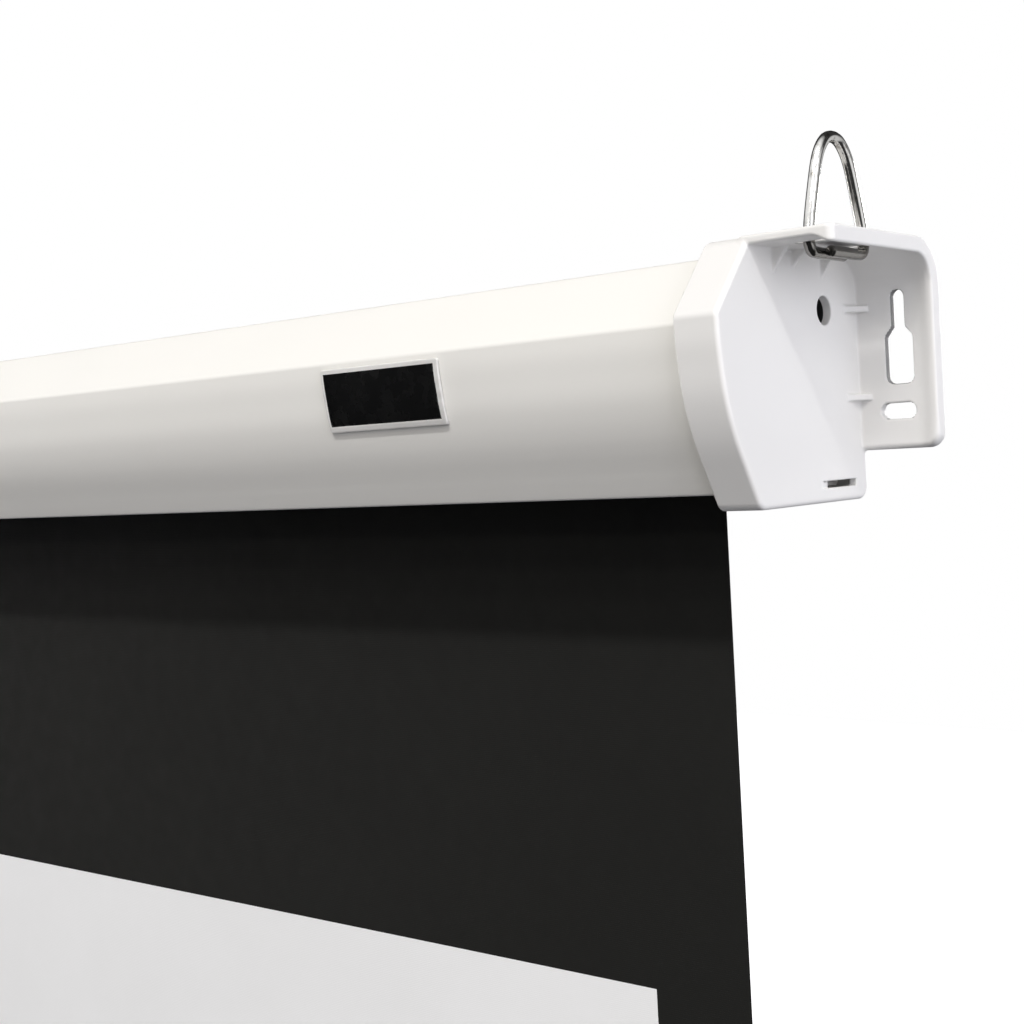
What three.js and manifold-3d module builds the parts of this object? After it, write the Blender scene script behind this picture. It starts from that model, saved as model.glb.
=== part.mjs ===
// Pull down projector screen: a spring roller screen in an extruded case with
// moulded end caps, hanging rings, an auto-lock and a weighted bottom bar.
//
// Frame: millimetres. +X along the screen, to the right as seen from the room.
// -Y towards the viewer, Y = 0 is the wall plane. +Z up, Z = 0 is the top
// (ceiling) plane of the two brackets. X = 0 is the middle of the screen.

import * as THREE from 'three';
import { mergeVertices } from 'three/addons/utils/BufferGeometryUtils.js';
import Module from 'manifold-3d';

const wasm = await Module();
wasm.setup();

// ---------------------------------------------------------------- dimensions
const SPAN = 2015;               // end face to end face of the two caps
const HALF = SPAN / 2;
const BRACKET_X = 27.6;          // the bracket reaches this far past the end face
const CAP_SKIRT = 15;            // the cap reaches this far in over the case
const CAP_WALL = 3;              // end wall of a cap
const CASE_INSET = 4;            // case section inside the cap section
const CASE_WALL = 1.4;
const CASE_END = 3.3;            // the case stops this far inside the end face
const SLOT_Y = [-30, -16];       // fabric slot in the case floor
const AXIS_Y = -43;              // roller axis
const AXIS_Z = -41;
const ROLLER_R = 18;
const ROLLER_WALL = 1.3;
const ROLLER_END = 21.3;         // roller tube ends this far inside the end faces
const FABRIC_Y = -23;            // plane of the hanging fabric
const FABRIC_T = 0.4;
const FABRIC_W = 1936;
const VIEW_TOP_Z = -247;         // the white viewing area starts here
const VIEW_H = 1046;             // 84 in, 16:9
const BAR_TOP_Z = VIEW_TOP_Z - VIEW_H - 45;
const BAR_H = 26;
const BAR_D = 22;
const BAR_LEN = 1970;
const HOOK_X = 14.3;             // plane of a hanging ring, past the end face
const HOOK_Y = -40;
const HOOK_R = 1.75;             // wire radius
const HOOK_BASE_Z = -5.4;

// ----------------------------------------------------------------- materials
const std = (color, roughness, metalness) => new THREE.MeshStandardMaterial({ color, roughness, metalness });
const whitePlastic = std(0xe6e6e8, 0.42, 0);
const whitePaint = std(0xe9e8e4, 0.3, 0);
const chrome = std(0xc8c8c8, 0.12, 1);
const zincSteel = std(0xa6a8aa, 0.38, 1);
const springSteel = std(0x6b6c6e, 0.42, 1);
const aluminium = std(0xb4b6b8, 0.4, 1);
const nylon = std(0xd6d4cc, 0.5, 0);
const greyPlastic = std(0x55575a, 0.55, 0);
const blackPaint = std(0x18181a, 0.42, 0);
const blackPlastic = std(0x161618, 0.5, 0);
const fabricBlack = std(0x1c1c1c, 0.85, 0);
const fabricWhite = std(0xe2e2e0, 0.8, 0);
const rubber = std(0x202020, 0.8, 0);
const labelFace = std(0x0c0c0c, 0.3, 0);

// ------------------------------------------------------------------- helpers
// A closed outline from corners [a, b, radius], each corner rounded.
function rounded(corners, seg = 3) {
  const out = [];
  const n = corners.length;
  for (let i = 0; i < n; i++) {
    const [x, y, r = 0] = corners[i];
    if (!r) { out.push([x, y]); continue; }
    const [px, py] = corners[(i + n - 1) % n];
    const [qx, qy] = corners[(i + 1) % n];
    const a = new THREE.Vector2(px - x, py - y);
    const b = new THREE.Vector2(qx - x, qy - y);
    const la = a.length(), lb = b.length();
    a.divideScalar(la); b.divideScalar(lb);
    const half = Math.acos(THREE.MathUtils.clamp(a.dot(b), -1, 1)) / 2;
    const t = Math.min(r / Math.tan(half), la * 0.49, lb * 0.49);
    const rr = t * Math.tan(half);
    const mid = a.clone().add(b).normalize();
    const c = new THREE.Vector2(x, y).addScaledVector(mid, rr / Math.sin(half));
    const s = new THREE.Vector2(x, y).addScaledVector(a, t).sub(c);
    const e = new THREE.Vector2(x, y).addScaledVector(b, t).sub(c);
    let turn = Math.atan2(s.x * e.y - s.y * e.x, s.dot(e));
    for (let k = 0; k <= seg; k++) {
      const p = s.clone().rotateAround(new THREE.Vector2(), (turn * k) / seg).add(c);
      out.push([p.x, p.y]);
    }
  }
  return out;
}

// Corners of a counterclockwise outline moved inwards by d.
function inset(corners, d) {
  const n = corners.length;
  const out = [];
  for (let i = 0; i < n; i++) {
    const p = corners[(i + n - 1) % n], c = corners[i], q = corners[(i + 1) % n];
    const d1 = [c[0] - p[0], c[1] - p[1]], d2 = [q[0] - c[0], q[1] - c[1]];
    const l1 = Math.hypot(...d1), l2 = Math.hypot(...d2);
    const n1 = [-d1[1] / l1, d1[0] / l1], n2 = [-d2[1] / l2, d2[0] / l2];
    const k = 1 + n1[0] * n2[0] + n1[1] * n2[1];
    const r = c[2] ? Math.max(c[2] - d, 0.4) : 0;
    out.push([c[0] + ((n1[0] + n2[0]) * d) / k, c[1] + ((n1[1] + n2[1]) * d) / k, r]);
  }
  return out;
}

function circle(cx, cy, r, seg) {
  const out = [];
  for (let k = 0; k < seg; k++) {
    const a = (2 * Math.PI * k) / seg;
    out.push([cx + r * Math.cos(a), cy + r * Math.sin(a)]);
  }
  return out;
}

const box2 = (a0, a1, b0, b1) => [[a0, b0], [a1, b0], [a1, b1], [a0, b1]];

function shapeOf(outline, holes = []) {
  const v = (l) => l.map(([a, b]) => new THREE.Vector2(a, b));
  const s = new THREE.Shape(v(outline));
  for (const h of holes) s.holes.push(new THREE.Path(v(h)));
  return s;
}

function extruded(outline, w0, w1, holes, bevel, bevelSeg) {
  const b = bevel || 0;
  const g = new THREE.ExtrudeGeometry(shapeOf(outline, holes), {
    depth: w1 - w0 - 2 * b, steps: 1, curveSegments: 1, bevelEnabled: b > 0,
    bevelThickness: b, bevelSize: b, bevelOffset: -b, bevelSegments: bevelSeg || 2,
  });
  g.translate(0, 0, w0 + b);
  return g;
}

const V = (x, y, z) => new THREE.Vector3(x, y, z);
// outline of [y, z] swept along X; of [x, z] along Y; of [x, y] along Z
function alongX(outline, x0, x1, holes, bevel, seg) {
  return extruded(outline, x0, x1, holes, bevel, seg).applyMatrix4(new THREE.Matrix4().makeBasis(V(0, 1, 0), V(0, 0, 1), V(1, 0, 0)));
}
function alongY(outline, y0, y1, holes = [], bevel, seg) {
  const flip = (l) => l.map(([x, z]) => [z, x]);
  return extruded(flip(outline), y0, y1, holes.map(flip), bevel, seg).applyMatrix4(new THREE.Matrix4().makeBasis(V(0, 0, 1), V(1, 0, 0), V(0, 1, 0)));
}
function alongZ(outline, z0, z1, holes, bevel, seg) {
  return extruded(outline, z0, z1, holes, bevel, seg);
}
function block(x0, x1, y0, y1, z0, z1) {
  const g = new THREE.BoxGeometry(x1 - x0, y1 - y0, z1 - z0);
  g.translate((x0 + x1) / 2, (y0 + y1) / 2, (z0 + z1) / 2);
  return g;
}

// One merged, outward-facing, indexed geometry with positions only.
function clean(geometry) {
  let g = geometry.clone();
  for (const k of Object.keys(g.attributes)) if (k !== 'position') g.deleteAttribute(k);
  g.morphAttributes = {};
  g.clearGroups();
  g = mergeVertices(g, 1e-4);
  const idx = g.index.array, pos = g.attributes.position, keep = [];
  let vol = 0;
  const a = V(), b = V(), c = V();
  for (let i = 0; i < idx.length; i += 3) {
    const [p, q, r] = [idx[i], idx[i + 1], idx[i + 2]];
    if (p === q || q === r || r === p) continue;
    a.fromBufferAttribute(pos, p); b.fromBufferAttribute(pos, q); c.fromBufferAttribute(pos, r);
    vol += a.dot(b.clone().cross(c));
    keep.push(p, q, r);
  }
  if (vol < 0) for (let i = 0; i < keep.length; i += 3) [keep[i + 1], keep[i + 2]] = [keep[i + 2], keep[i + 1]];
  g.setIndex(keep);
  return g;
}

function solid(geometry) {
  const g = clean(geometry);
  return new wasm.Manifold(new wasm.Mesh({
    numProp: 3,
    vertProperties: new Float32Array(g.attributes.position.array),
    triVerts: new Uint32Array(g.index.array),
  }));
}
function geometryOf(m) {
  const mesh = m.getMesh();
  const g = new THREE.BufferGeometry();
  const p = new Float32Array((mesh.vertProperties.length / mesh.numProp) * 3);
  for (let i = 0, j = 0; i < mesh.vertProperties.length; i += mesh.numProp) {
    p[j++] = mesh.vertProperties[i]; p[j++] = mesh.vertProperties[i + 1]; p[j++] = mesh.vertProperties[i + 2];
  }
  g.setAttribute('position', new THREE.BufferAttribute(p, 3));
  g.setIndex(Array.from(mesh.triVerts));
  return g;
}
function joined(...geometries) {
  return geometryOf(geometries.map(solid).reduce((a, b) => a.add(b)));
}
function cut(base, ...tools) {
  let m = base instanceof THREE.BufferGeometry ? solid(base) : base;
  for (const t of tools) m = m.subtract(t instanceof THREE.BufferGeometry ? solid(t) : t);
  return geometryOf(m);
}

// A turned piece about an axis along X through (y, z): profile of [x, r].
function turnedX(profile, y, z, seg = 20) {
  const g = new THREE.LatheGeometry(profile.map(([x, r]) => new THREE.Vector2(r, x)), seg);
  g.rotateZ(-Math.PI / 2);
  g.translate(0, y, z);
  return clean(g);
}
function discX(x0, x1, r, y, z, seg = 20) {
  return alongX(circle(y, z, r, seg), x0, x1);
}
function ringX(x0, x1, r1, r0, y, z, seg = 20) {
  return alongX(circle(y, z, r1, seg), x0, x1, [circle(y, z, r0, seg)]);
}

// Pan head screw with a cross recess. The head's underside is at x = 0 and the
// shank points to -x.
function screw(length, shankR, headR, headH) {
  const g = turnedX([
    [-length, 0], [-length + 1.6, shankR * 0.55], [-length + 2.6, shankR], [0, shankR],
    [0, headR], [headH * 0.35, headR], [headH * 0.8, headR * 0.8], [headH, headR * 0.35], [headH, 0],
  ], 0, 0, 14);
  return cut(g,
    block(headH * 0.42, headH + 1, -headR * 0.55, headR * 0.55, -0.38, 0.38),
    block(headH * 0.42, headH + 1, -0.38, 0.38, -headR * 0.55, headR * 0.55));
}

function wire(points, radius, steps, sides = 8, tension = 0.5) {
  const curve = new THREE.CatmullRomCurve3(points, false, 'centripetal', tension);
  return clean(new THREE.ExtrudeGeometry(shapeOf(circle(0, 0, radius, sides)), { steps, extrudePath: curve, bevelEnabled: false }));
}

// The same geometry on the other end of the screen.
function mirrored(geometry) {
  const g = geometry.clone();
  const p = g.attributes.position;
  for (let i = 0; i < p.count; i++) p.setX(i, -p.getX(i));
  const idx = g.index.array;
  for (let i = 0; i < idx.length; i += 3) { const t = idx[i + 1]; idx[i + 1] = idx[i + 2]; idx[i + 2] = t; }
  g.computeVertexNormals();
  return g;
}

function piece(name, geometry, material) {
  const g = geometry.index ? geometry : clean(geometry);
  g.computeVertexNormals();
  const m = new THREE.Mesh(g, material);
  m.name = name;
  return m;
}

// ------------------------------------------------------------ case and caps
// Cap section, counterclockwise in (Y, Z): flat back and top, a sloping facet
// at the top front, a bowed face that runs into a straight slope, a flat floor.
const BEND_R = 14;               // outside of the bend between the top and back plates
const CAP_CORNERS = [
  [0, 0, BEND_R], [-65.6, 0, 6], [-85.2, -22.8, 4], [-84.8, -31], [-84, -37], [-82.65, -45],
  [-80.55, -52], [-78.1, -58], [-75.55, -63], [-65.75, -80, 4.5], [0, -80, 3],
];
const CAP_OUTLINE = rounded(CAP_CORNERS, 3);
const CASE_CORNERS = inset(CAP_CORNERS, CASE_INSET).map(([y, z, r]) => [y, z, r && Math.max(r, 2.5)]);
const CASE_OUTLINE = rounded(CASE_CORNERS, 3);
const CASE_INNER = rounded(inset(CASE_CORNERS, CASE_WALL), 3);
const CASE_FLOOR = -80 + CASE_INSET;

// the screw that holds a cap to the back of the case, sunk below the wall plane
const CASE_SCREW = { x: -8, z: -41 };

const CASE_X = HALF - CASE_END;
const housingCase = (() => {
  const shell = solid(alongX(CASE_OUTLINE, -CASE_X, CASE_X));
  const hollow = solid(alongX(CASE_INNER, -CASE_X - 1, CASE_X + 1));
  const slot = solid(block(-CASE_X - 1, CASE_X + 1, SLOT_Y[0], SLOT_Y[1], CASE_FLOOR - 2, CASE_FLOOR + 4));
  const lip = (y0, y1) => solid(alongX(rounded([[y0, CASE_FLOOR, 0.3], [y1, CASE_FLOOR, 0.3], [y1, CASE_FLOOR + 5.5, 0.6], [y0, CASE_FLOOR + 5.5, 0.6]], 1), -CASE_X, CASE_X));
  let m = shell.subtract(hollow).subtract(slot)
    .add(lip(SLOT_Y[0] - 1.5, SLOT_Y[0]))
    .add(lip(SLOT_Y[1], SLOT_Y[1] + 1.5));
  for (const s of [-1, 1]) {
    m = m.subtract(solid(alongY(circle(s * (HALF + CASE_SCREW.x), CASE_SCREW.z, 1.75, 12), -CASE_INSET - 3, -CASE_INSET + 1)));
  }
  return geometryOf(m);
})();

// Screw bosses inside a cap, [y, z]: the rear one is a recess open to the
// outside, the other two are blind.
const P_RECESS = [-23.2, -20.8];
const P_FRONT = [-66, -36];
const P_LOW = [-20, -60];
const BOSS_X = -9;

const endCap = (() => {
  // drum: skirt and end wall
  let m = solid(alongX(CAP_OUTLINE, -CAP_SKIRT, 0, [], 2.2, 2))
    .subtract(solid(alongX(rounded(inset(CAP_CORNERS, CASE_INSET - 0.3), 3), -CAP_SKIRT - 1, -CAP_WALL)));
  // bracket: top plate, back plate and the bend between them
  const end = 0.1 - BEND_R;
  const top = alongZ(rounded([[-4, -67], [BRACKET_X, -67, 2.4], [BRACKET_X, end], [-4, end]], 2), -2.8, 0);
  const back = alongY(rounded([[-4, -65], [BRACKET_X, -65, 5], [BRACKET_X, end], [-4, end]], 3), -2.8, 0);
  const arc = (cy, cz, r, a0, a1, n) => Array.from({ length: n + 1 }, (_, k) => {
    const a = a0 + ((a1 - a0) * k) / n;
    return [cy + r * Math.cos(a), cz + r * Math.sin(a)];
  });
  const bend = (r1, r0, x0, x1) => alongX([...arc(-BEND_R, -BEND_R, r1, 0, Math.PI / 2, 7), ...arc(-BEND_R, -BEND_R, r0, Math.PI / 2, 0, 7)], x0, x1);
  m = m.add(solid(top)).add(solid(back)).add(solid(bend(BEND_R, BEND_R - 2.8, -4, BRACKET_X)));
  // thicker rim along the outer edge of both plates
  const rimX = [BRACKET_X - 2.6, BRACKET_X];
  m = m.add(solid(alongX(rounded([[-66.2, -0.2, 0], [-66.2, -4.8, 1.2], [end, -4.8], [end, -0.2]], 2), rimX[0], rimX[1] - 0.2)))
    .add(solid(alongX([[-4.8, -60], [-0.2, -60], [-0.2, end], [-4.8, end]], rimX[0], rimX[1] - 0.2)))
    .add(solid(bend(BEND_R - 0.2, BEND_R - 4.8, rimX[0], rimX[1] - 0.2)));
  // gussets from the end wall to the back plate and up to the top plate
  const gusset = (z) => alongZ([[-0.5, -11], [-0.5, -2.4], [4.2, -2.4], [4.2, -3.6]], z - 1, z + 1);
  const hang = (y) => alongY([[-0.5, -8.4], [5.2, -3.6], [5.2, -2.4], [-0.5, -2.4]], y - 0.7, y + 0.7);
  for (const z of [-20, -48]) m = m.add(solid(gusset(z)));
  for (const y of [-53, -41.5, -23.5]) m = m.add(solid(hang(y)));
  // faint collar round the recess, then the bosses inside
  m = m.add(solid(alongX(circle(P_RECESS[0], P_RECESS[1], 6.6, 20), BOSS_X, -CAP_WALL + 0.5)))
    .add(solid(alongX(circle(P_FRONT[0], P_FRONT[1], 4, 12), BOSS_X, -CAP_WALL + 0.5)))
    .add(solid(alongX(circle(P_LOW[0], P_LOW[1], 4, 12), BOSS_X, -CAP_WALL + 0.5)))
    .subtract(solid(alongX(circle(P_RECESS[0], P_RECESS[1], 4.5, 20), -7.4, 2)))
    .subtract(solid(alongX(circle(P_RECESS[0], P_RECESS[1], 1.8, 12), BOSS_X - 1, 1)))
    .subtract(solid(alongX(circle(P_FRONT[0], P_FRONT[1], 1.75, 10), BOSS_X - 1, -3.6)))
    .subtract(solid(alongX(circle(P_LOW[0], P_LOW[1], 1.75, 10), BOSS_X - 1, -3.6)));
  // latch slot low in the end wall, with a shallow ramp in front of it
  m = m.subtract(solid(block(-5, 2, -23.4, -7.6, -75.8, -73.7)))
    .subtract(solid(alongZ([[-1.6, -23.5], [0.5, -30.5], [0.5, -23.2], [-1.6, -23.2]], -75.8, -73.7)));
  // keyhole and slot in the back plate
  const key = rounded([
    [12.0, -15, 2.3], [12.0, -26.6, 0.8], [9.7, -29.6, 0.8], [9.7, -44.5, 2.4],
    [19.0, -44.5, 2.4], [19.0, -29.6, 0.8], [16.7, -26.6, 0.8], [16.7, -15, 2.3],
  ], 3);
  m = m.subtract(solid(alongY(key, -6, 1)))
    .subtract(solid(alongY(rounded([[7.4, -50.5, 2.45], [7.4, -55.5, 2.45], [19.2, -55.5, 2.45], [19.2, -50.5, 2.45]], 4), -6, 1)));
  // two slots in the top plate for the legs of the hanging ring
  for (const s of [-1, 1]) {
    m = m.subtract(solid(alongZ(rounded([
      [HOOK_X - 6, HOOK_Y + s * 13 - 2.5, 2.2], [HOOK_X + 6, HOOK_Y + s * 13 - 2.5, 2.2],
      [HOOK_X + 6, HOOK_Y + s * 13 + 2.5, 2.2], [HOOK_X - 6, HOOK_Y + s * 13 + 2.5, 2.2]], 2), -4, 1)));
  }
  // countersunk hole in the back of the skirt for the case screw
  m = m.subtract(solid(alongY(circle(CASE_SCREW.x, CASE_SCREW.z, 1.75, 12), -5, 1)))
    .subtract(solid(alongY(circle(CASE_SCREW.x, CASE_SCREW.z, 3.6, 16), -2.4, 1)));
  return geometryOf(m);
})();

// ------------------------------------------------------------ hanging ring
const hook = (() => {
  const p = (dx, s, z) => V(HOOK_X + dx, HOOK_Y + s, z);
  const b = HOOK_BASE_Z;
  const right = [[1.7, 12.5, 3], [1.2, 10.55, 12.5], [0.8, 7.9, 21.5], [0.5, 5.9, 25.1], [0.25, 3.3, 27.5]];
  const left = right.map(([dx, s, z]) => [-dx, -s, z]).reverse();
  return wire([
    p(1.95, -7.5, b), p(1.95, 0, b), p(1.95, 8.7, b), p(1.95, 11.8, b + 0.45), p(1.9, 13.1, b + 2.6), p(1.85, 13.05, b + 4.8),
    ...right.map((q) => p(...q)), p(0, 0, 28.3), ...left.map((q) => p(...q)),
    p(-1.85, -13.05, b + 4.8), p(-1.9, -13.1, b + 2.6), p(-1.95, -11.8, b + 0.45), p(-1.95, -8.7, b), p(-1.95, 0, b), p(-1.95, 7.5, b),
  ], HOOK_R, 64, 8);
})();

// ------------------------------------------------- steel roller brackets
const BRACKET_CORNERS = [[-13, -11, 3], [-55, -11, 4], [-72, -31, 4], [-70.5, -55, 6], [-58, -69, 4], [-13, -69, 3]];
const plateX = [BOSS_X - 2.3, BOSS_X - 0.3];
function rollerBracket(axisHole) {
  const holes = [P_RECESS, P_FRONT, P_LOW].map(([y, z]) => circle(y, z, 1.8, 12));
  return alongX(rounded(BRACKET_CORNERS, 2), plateX[0], plateX[1], [...holes, axisHole,
    rounded([[-50, -16, 2.5], [-34, -16, 2.5], [-34, -21, 2.5], [-50, -21, 2.5]], 2)]);
}
const spearHole = box2(AXIS_Y - 1.85, AXIS_Y + 1.85, AXIS_Z - 3.85, AXIS_Z + 3.85);
const rollerBracketRight = rollerBracket(spearHole);
const rollerBracketLeft = rollerBracket(circle(AXIS_Y, AXIS_Z, 6.3, 20));

// fasteners at one end, in end-face coordinates
const recessScrew = screw(7.6, 1.4, 3.4, 2).translate(-7.1, ...P_RECESS);
const innerScrew = ([y, z]) => {
  const g = screw(6.4, 1.4, 3, 1.8);
  g.rotateZ(Math.PI);
  return g.translate(plateX[0] - 0.3, y, z);
};
const caseScrew = screw(7.5, 1.4, 3.2, 1.7).rotateZ(Math.PI / 2).translate(CASE_SCREW.x, -2.1, CASE_SCREW.z);

// --------------------------------------------------------------- the roller
const TUBE_X = HALF - ROLLER_END;
const GROOVE_A = -Math.PI / 2;      // the fabric groove faces down at rest
const groovePoint = (r, t) => [
  AXIS_Y + r * Math.cos(GROOVE_A) - t * Math.sin(GROOVE_A),
  AXIS_Z + r * Math.sin(GROOVE_A) + t * Math.cos(GROOVE_A),
];
function arcAround(r, a0, a1, n) {
  return Array.from({ length: n + 1 }, (_, k) => {
    const a = a0 + ((a1 - a0) * k) / n;
    return [AXIS_Y + r * Math.cos(a), AXIS_Z + r * Math.sin(a)];
  });
}
const rollerTube = (() => {
  const w = Math.asin(1.6 / ROLLER_R);
  const outer = [...arcAround(ROLLER_R, GROOVE_A + w, GROOVE_A + 2 * Math.PI - w, 36), groovePoint(14.9, -1.6), groovePoint(14.9, 1.6)];
  const ri = ROLLER_R - ROLLER_WALL;
  const wi = Math.asin(2.9 / ri);
  const inner = [...arcAround(ri, GROOVE_A + wi, GROOVE_A + 2 * Math.PI - wi, 32), groovePoint(13.7, -2.9), groovePoint(13.7, 2.9)];
  return alongX(outer, -TUBE_X, TUBE_X, [inner]);
})();
const [splineY, splineZ] = groovePoint(16.45, 0);
const fabricSpline = discX(-FABRIC_W / 2, FABRIC_W / 2, 1.25, splineY, splineZ, 8);
const fabricRoll = ringX(-FABRIC_W / 2, FABRIC_W / 2, 19.45, 18.35, AXIS_Y, AXIS_Z, 36);

// A plug for the end of the tube, keyed to the groove, in end-face coordinates.
function endPlug(boreR, flangeX, plugX) {
  const m = solid(discX(flangeX[0], flangeX[1], 17.8, AXIS_Y, AXIS_Z, 28))
    .add(solid(discX(plugX, flangeX[0] + 0.5, ROLLER_R - ROLLER_WALL - 0.3, AXIS_Y, AXIS_Z, 28)))
    .subtract(solid(discX(plugX - 1, flangeX[1] + 1, boreR, AXIS_Y, AXIS_Z, 20)))
    .subtract(solid(block(plugX - 1, flangeX[0], AXIS_Y - 3.2, AXIS_Y + 3.2, AXIS_Z - 20, AXIS_Z - 13.4)));
  return m;
}
const PAWL_R = 14.2, PAWL_A = THREE.MathUtils.degToRad(145);
const pawlPivot = (k) => [AXIS_Y + PAWL_R * Math.cos(PAWL_A + k * Math.PI), AXIS_Z + PAWL_R * Math.sin(PAWL_A + k * Math.PI)];
const pawlCarrier = (() => {
  let m = endPlug(4.4, [-21, -18.5], -40);
  for (const k of [0, 1]) m = m.subtract(solid(discX(-23, -17, 1.75, ...pawlPivot(k), 12)));
  return geometryOf(m);
})();
const idlerPlug = geometryOf(endPlug(4.35, [-21, -18.5], -44));
const idlerPin = turnedX([[-46, 0], [-46, 3.6], [-45.6, 4], [-9.2, 4], [-8.7, 3.5], [-8.7, 0]], AXIS_Y, AXIS_Z, 20);
const idlerBush = turnedX([[-17.9, 4.3], [-17.9, 8.5], [-11.6, 8.5], [-11.6, 5.95], [-9, 5.95], [-9, 4.3], [-17.9, 4.3]], AXIS_Y, AXIS_Z, 24);

// auto-lock: notched disc on the still shaft, two pawls on the turning carrier
const lockRatchet = cut(ringX(-17.5, -13.8, 9.5, 4.3, AXIS_Y, AXIS_Z, 28),
  block(-20, -10, AXIS_Y - 2.1, AXIS_Y + 2.5, AXIS_Z + 6.8, AXIS_Z + 12),
  block(-20, -10, AXIS_Y - 2.5, AXIS_Y + 2.1, AXIS_Z - 12, AXIS_Z - 6.8));
const pawl = (k) => {
  const [py, pz] = [PAWL_R * Math.cos(PAWL_A), PAWL_R * Math.sin(PAWL_A)];
  const back = Array.from({ length: 7 }, (_, i) => {
    const a = THREE.MathUtils.degToRad(70 + (i * 230) / 6);
    return [py + 2.9 * Math.cos(a), pz + 2.9 * Math.sin(a)];
  });
  const outline = [...back, [-8.4, 9.8], [-5, 11.6], [-1.7, 12], [-1.2, 10.1], [1.3, 10.1], [1.7, 13.4], [0.6, 14.3], [-4, 14.6]];
  const turn = ([y, z]) => (k ? [AXIS_Y - y, AXIS_Z - z] : [AXIS_Y + y, AXIS_Z + z]);
  const [hy, hz] = turn([py, pz]);
  return alongX(outline.map(turn), -17.3, -14.1, [circle(hy, hz, 1.75, 12)]);
};
const pawlPin = (k) => turnedX([[-20.8, 0], [-20.8, 1.4], [-13.9, 1.4], [-13.9, 2.2], [-13.1, 2.2], [-12.9, 1.8], [-12.9, 0]], ...pawlPivot(k), 12);

// spring motor: still shaft, collar, torsion spring, driver plug in the tube
const springRod = joined(
  turnedX([[-380, 0], [-380, 3.6], [-379.6, 4], [-13, 4], [-12.6, 3.6], [-12.6, 0]], AXIS_Y, AXIS_Z, 18),
  block(-20, -8.6, AXIS_Y - 1.5, AXIS_Y + 1.5, AXIS_Z - 3.5, AXIS_Z + 3.5));
const springAnchor = ringX(-58, -48, 12.4, 4.35, AXIS_Y, AXIS_Z, 24);
const springDriver = geometryOf(endPlug(4.4, [-366, -364], -376)
  .intersect(solid(discX(-380, -360, ROLLER_R - ROLLER_WALL - 0.3, AXIS_Y, AXIS_Z, 28)))
  .subtract(solid(block(-380, -360, AXIS_Y - 3.2, AXIS_Y + 3.2, AXIS_Z - 20, AXIS_Z - 13.4))));
class Helix extends THREE.Curve {
  constructor(x0, x1, r, turns) { super(); Object.assign(this, { x0, x1, r, turns }); }
  getPoint(t, target = V()) {
    const a = 2 * Math.PI * this.turns * t;
    return target.set(this.x0 + (this.x1 - this.x0) * t, AXIS_Y + this.r * Math.cos(a), AXIS_Z + this.r * Math.sin(a));
  }
}
const SPRING_TURNS = 26;
const torsionSpring = clean(new THREE.ExtrudeGeometry(shapeOf(circle(0, 0, 1.1, 5)), {
  steps: SPRING_TURNS * 10, bevelEnabled: false, extrudePath: new Helix(-60, -362, 11.3, SPRING_TURNS),
}));

// ------------------------------------------------------ fabric and weight bar
const FABRIC_TOP_Z = AXIS_Z;
const screenFabric = block(-FABRIC_W / 2, FABRIC_W / 2, FABRIC_Y - FABRIC_T / 2, FABRIC_Y + FABRIC_T / 2, BAR_TOP_Z + 0.3, FABRIC_TOP_Z);
const HEM_Z = BAR_TOP_Z - 6.2;
const fabricHem = (() => {
  const ring = alongX(circle(FABRIC_Y, HEM_Z, 2.5, 14), -FABRIC_W / 2, FABRIC_W / 2);
  const neck = block(-FABRIC_W / 2, FABRIC_W / 2, FABRIC_Y - FABRIC_T / 2, FABRIC_Y + FABRIC_T / 2, HEM_Z + 1, BAR_TOP_Z);
  return geometryOf(solid(ring).add(solid(neck)).subtract(solid(alongX(circle(FABRIC_Y, HEM_Z, 1.9, 12), -FABRIC_W, FABRIC_W))));
})();
const hemRod = discX(-FABRIC_W / 2 + 4, FABRIC_W / 2 - 4, 1.5, FABRIC_Y, HEM_Z, 10);

const BAR_BOTTOM_Z = BAR_TOP_Z - BAR_H;
const BAR_CORNERS = [
  [FABRIC_Y + BAR_D / 2, BAR_TOP_Z, 7], [FABRIC_Y - BAR_D / 2, BAR_TOP_Z, 7],
  [FABRIC_Y - BAR_D / 2, BAR_BOTTOM_Z, 9], [FABRIC_Y + BAR_D / 2, BAR_BOTTOM_Z, 9],
];
const BAR_X = BAR_LEN / 2;
const HANDLE_SCREW_X = 18;
const weightBar = (() => {
  let m = solid(alongX(rounded(BAR_CORNERS, 4), -BAR_X, BAR_X))
    .subtract(solid(alongX(rounded(inset(BAR_CORNERS, 1.5), 4), -BAR_X - 1, BAR_X + 1)))
    .subtract(solid(block(-BAR_X - 1, BAR_X + 1, FABRIC_Y - 0.9, FABRIC_Y + 0.9, BAR_TOP_Z - 3, BAR_TOP_Z + 1)));
  for (const s of [-1, 1]) m = m.subtract(solid(alongZ(circle(s * HANDLE_SCREW_X, FABRIC_Y, 1.75, 12), BAR_BOTTOM_Z - 2, BAR_BOTTOM_Z + 3)));
  return geometryOf(m);
})();
const weightRod = discX(-900, 900, 5, FABRIC_Y, BAR_BOTTOM_Z + 9.6, 16);
const barCap = (() => {
  const flange = solid(alongX(rounded(BAR_CORNERS, 4), 0.3, 3.6, [], 0.9, 2));
  const spigot = solid(alongX(rounded(inset(BAR_CORNERS, 1.8), 3), -12, 1));
  return geometryOf(flange.add(spigot)
    .subtract(solid(alongX(rounded(inset(BAR_CORNERS, 3.4), 3), -13, -1)))
    .subtract(solid(block(-13, -0.5, FABRIC_Y - 4, FABRIC_Y + 4, BAR_TOP_Z - 8, BAR_TOP_Z + 1))));
})();
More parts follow.
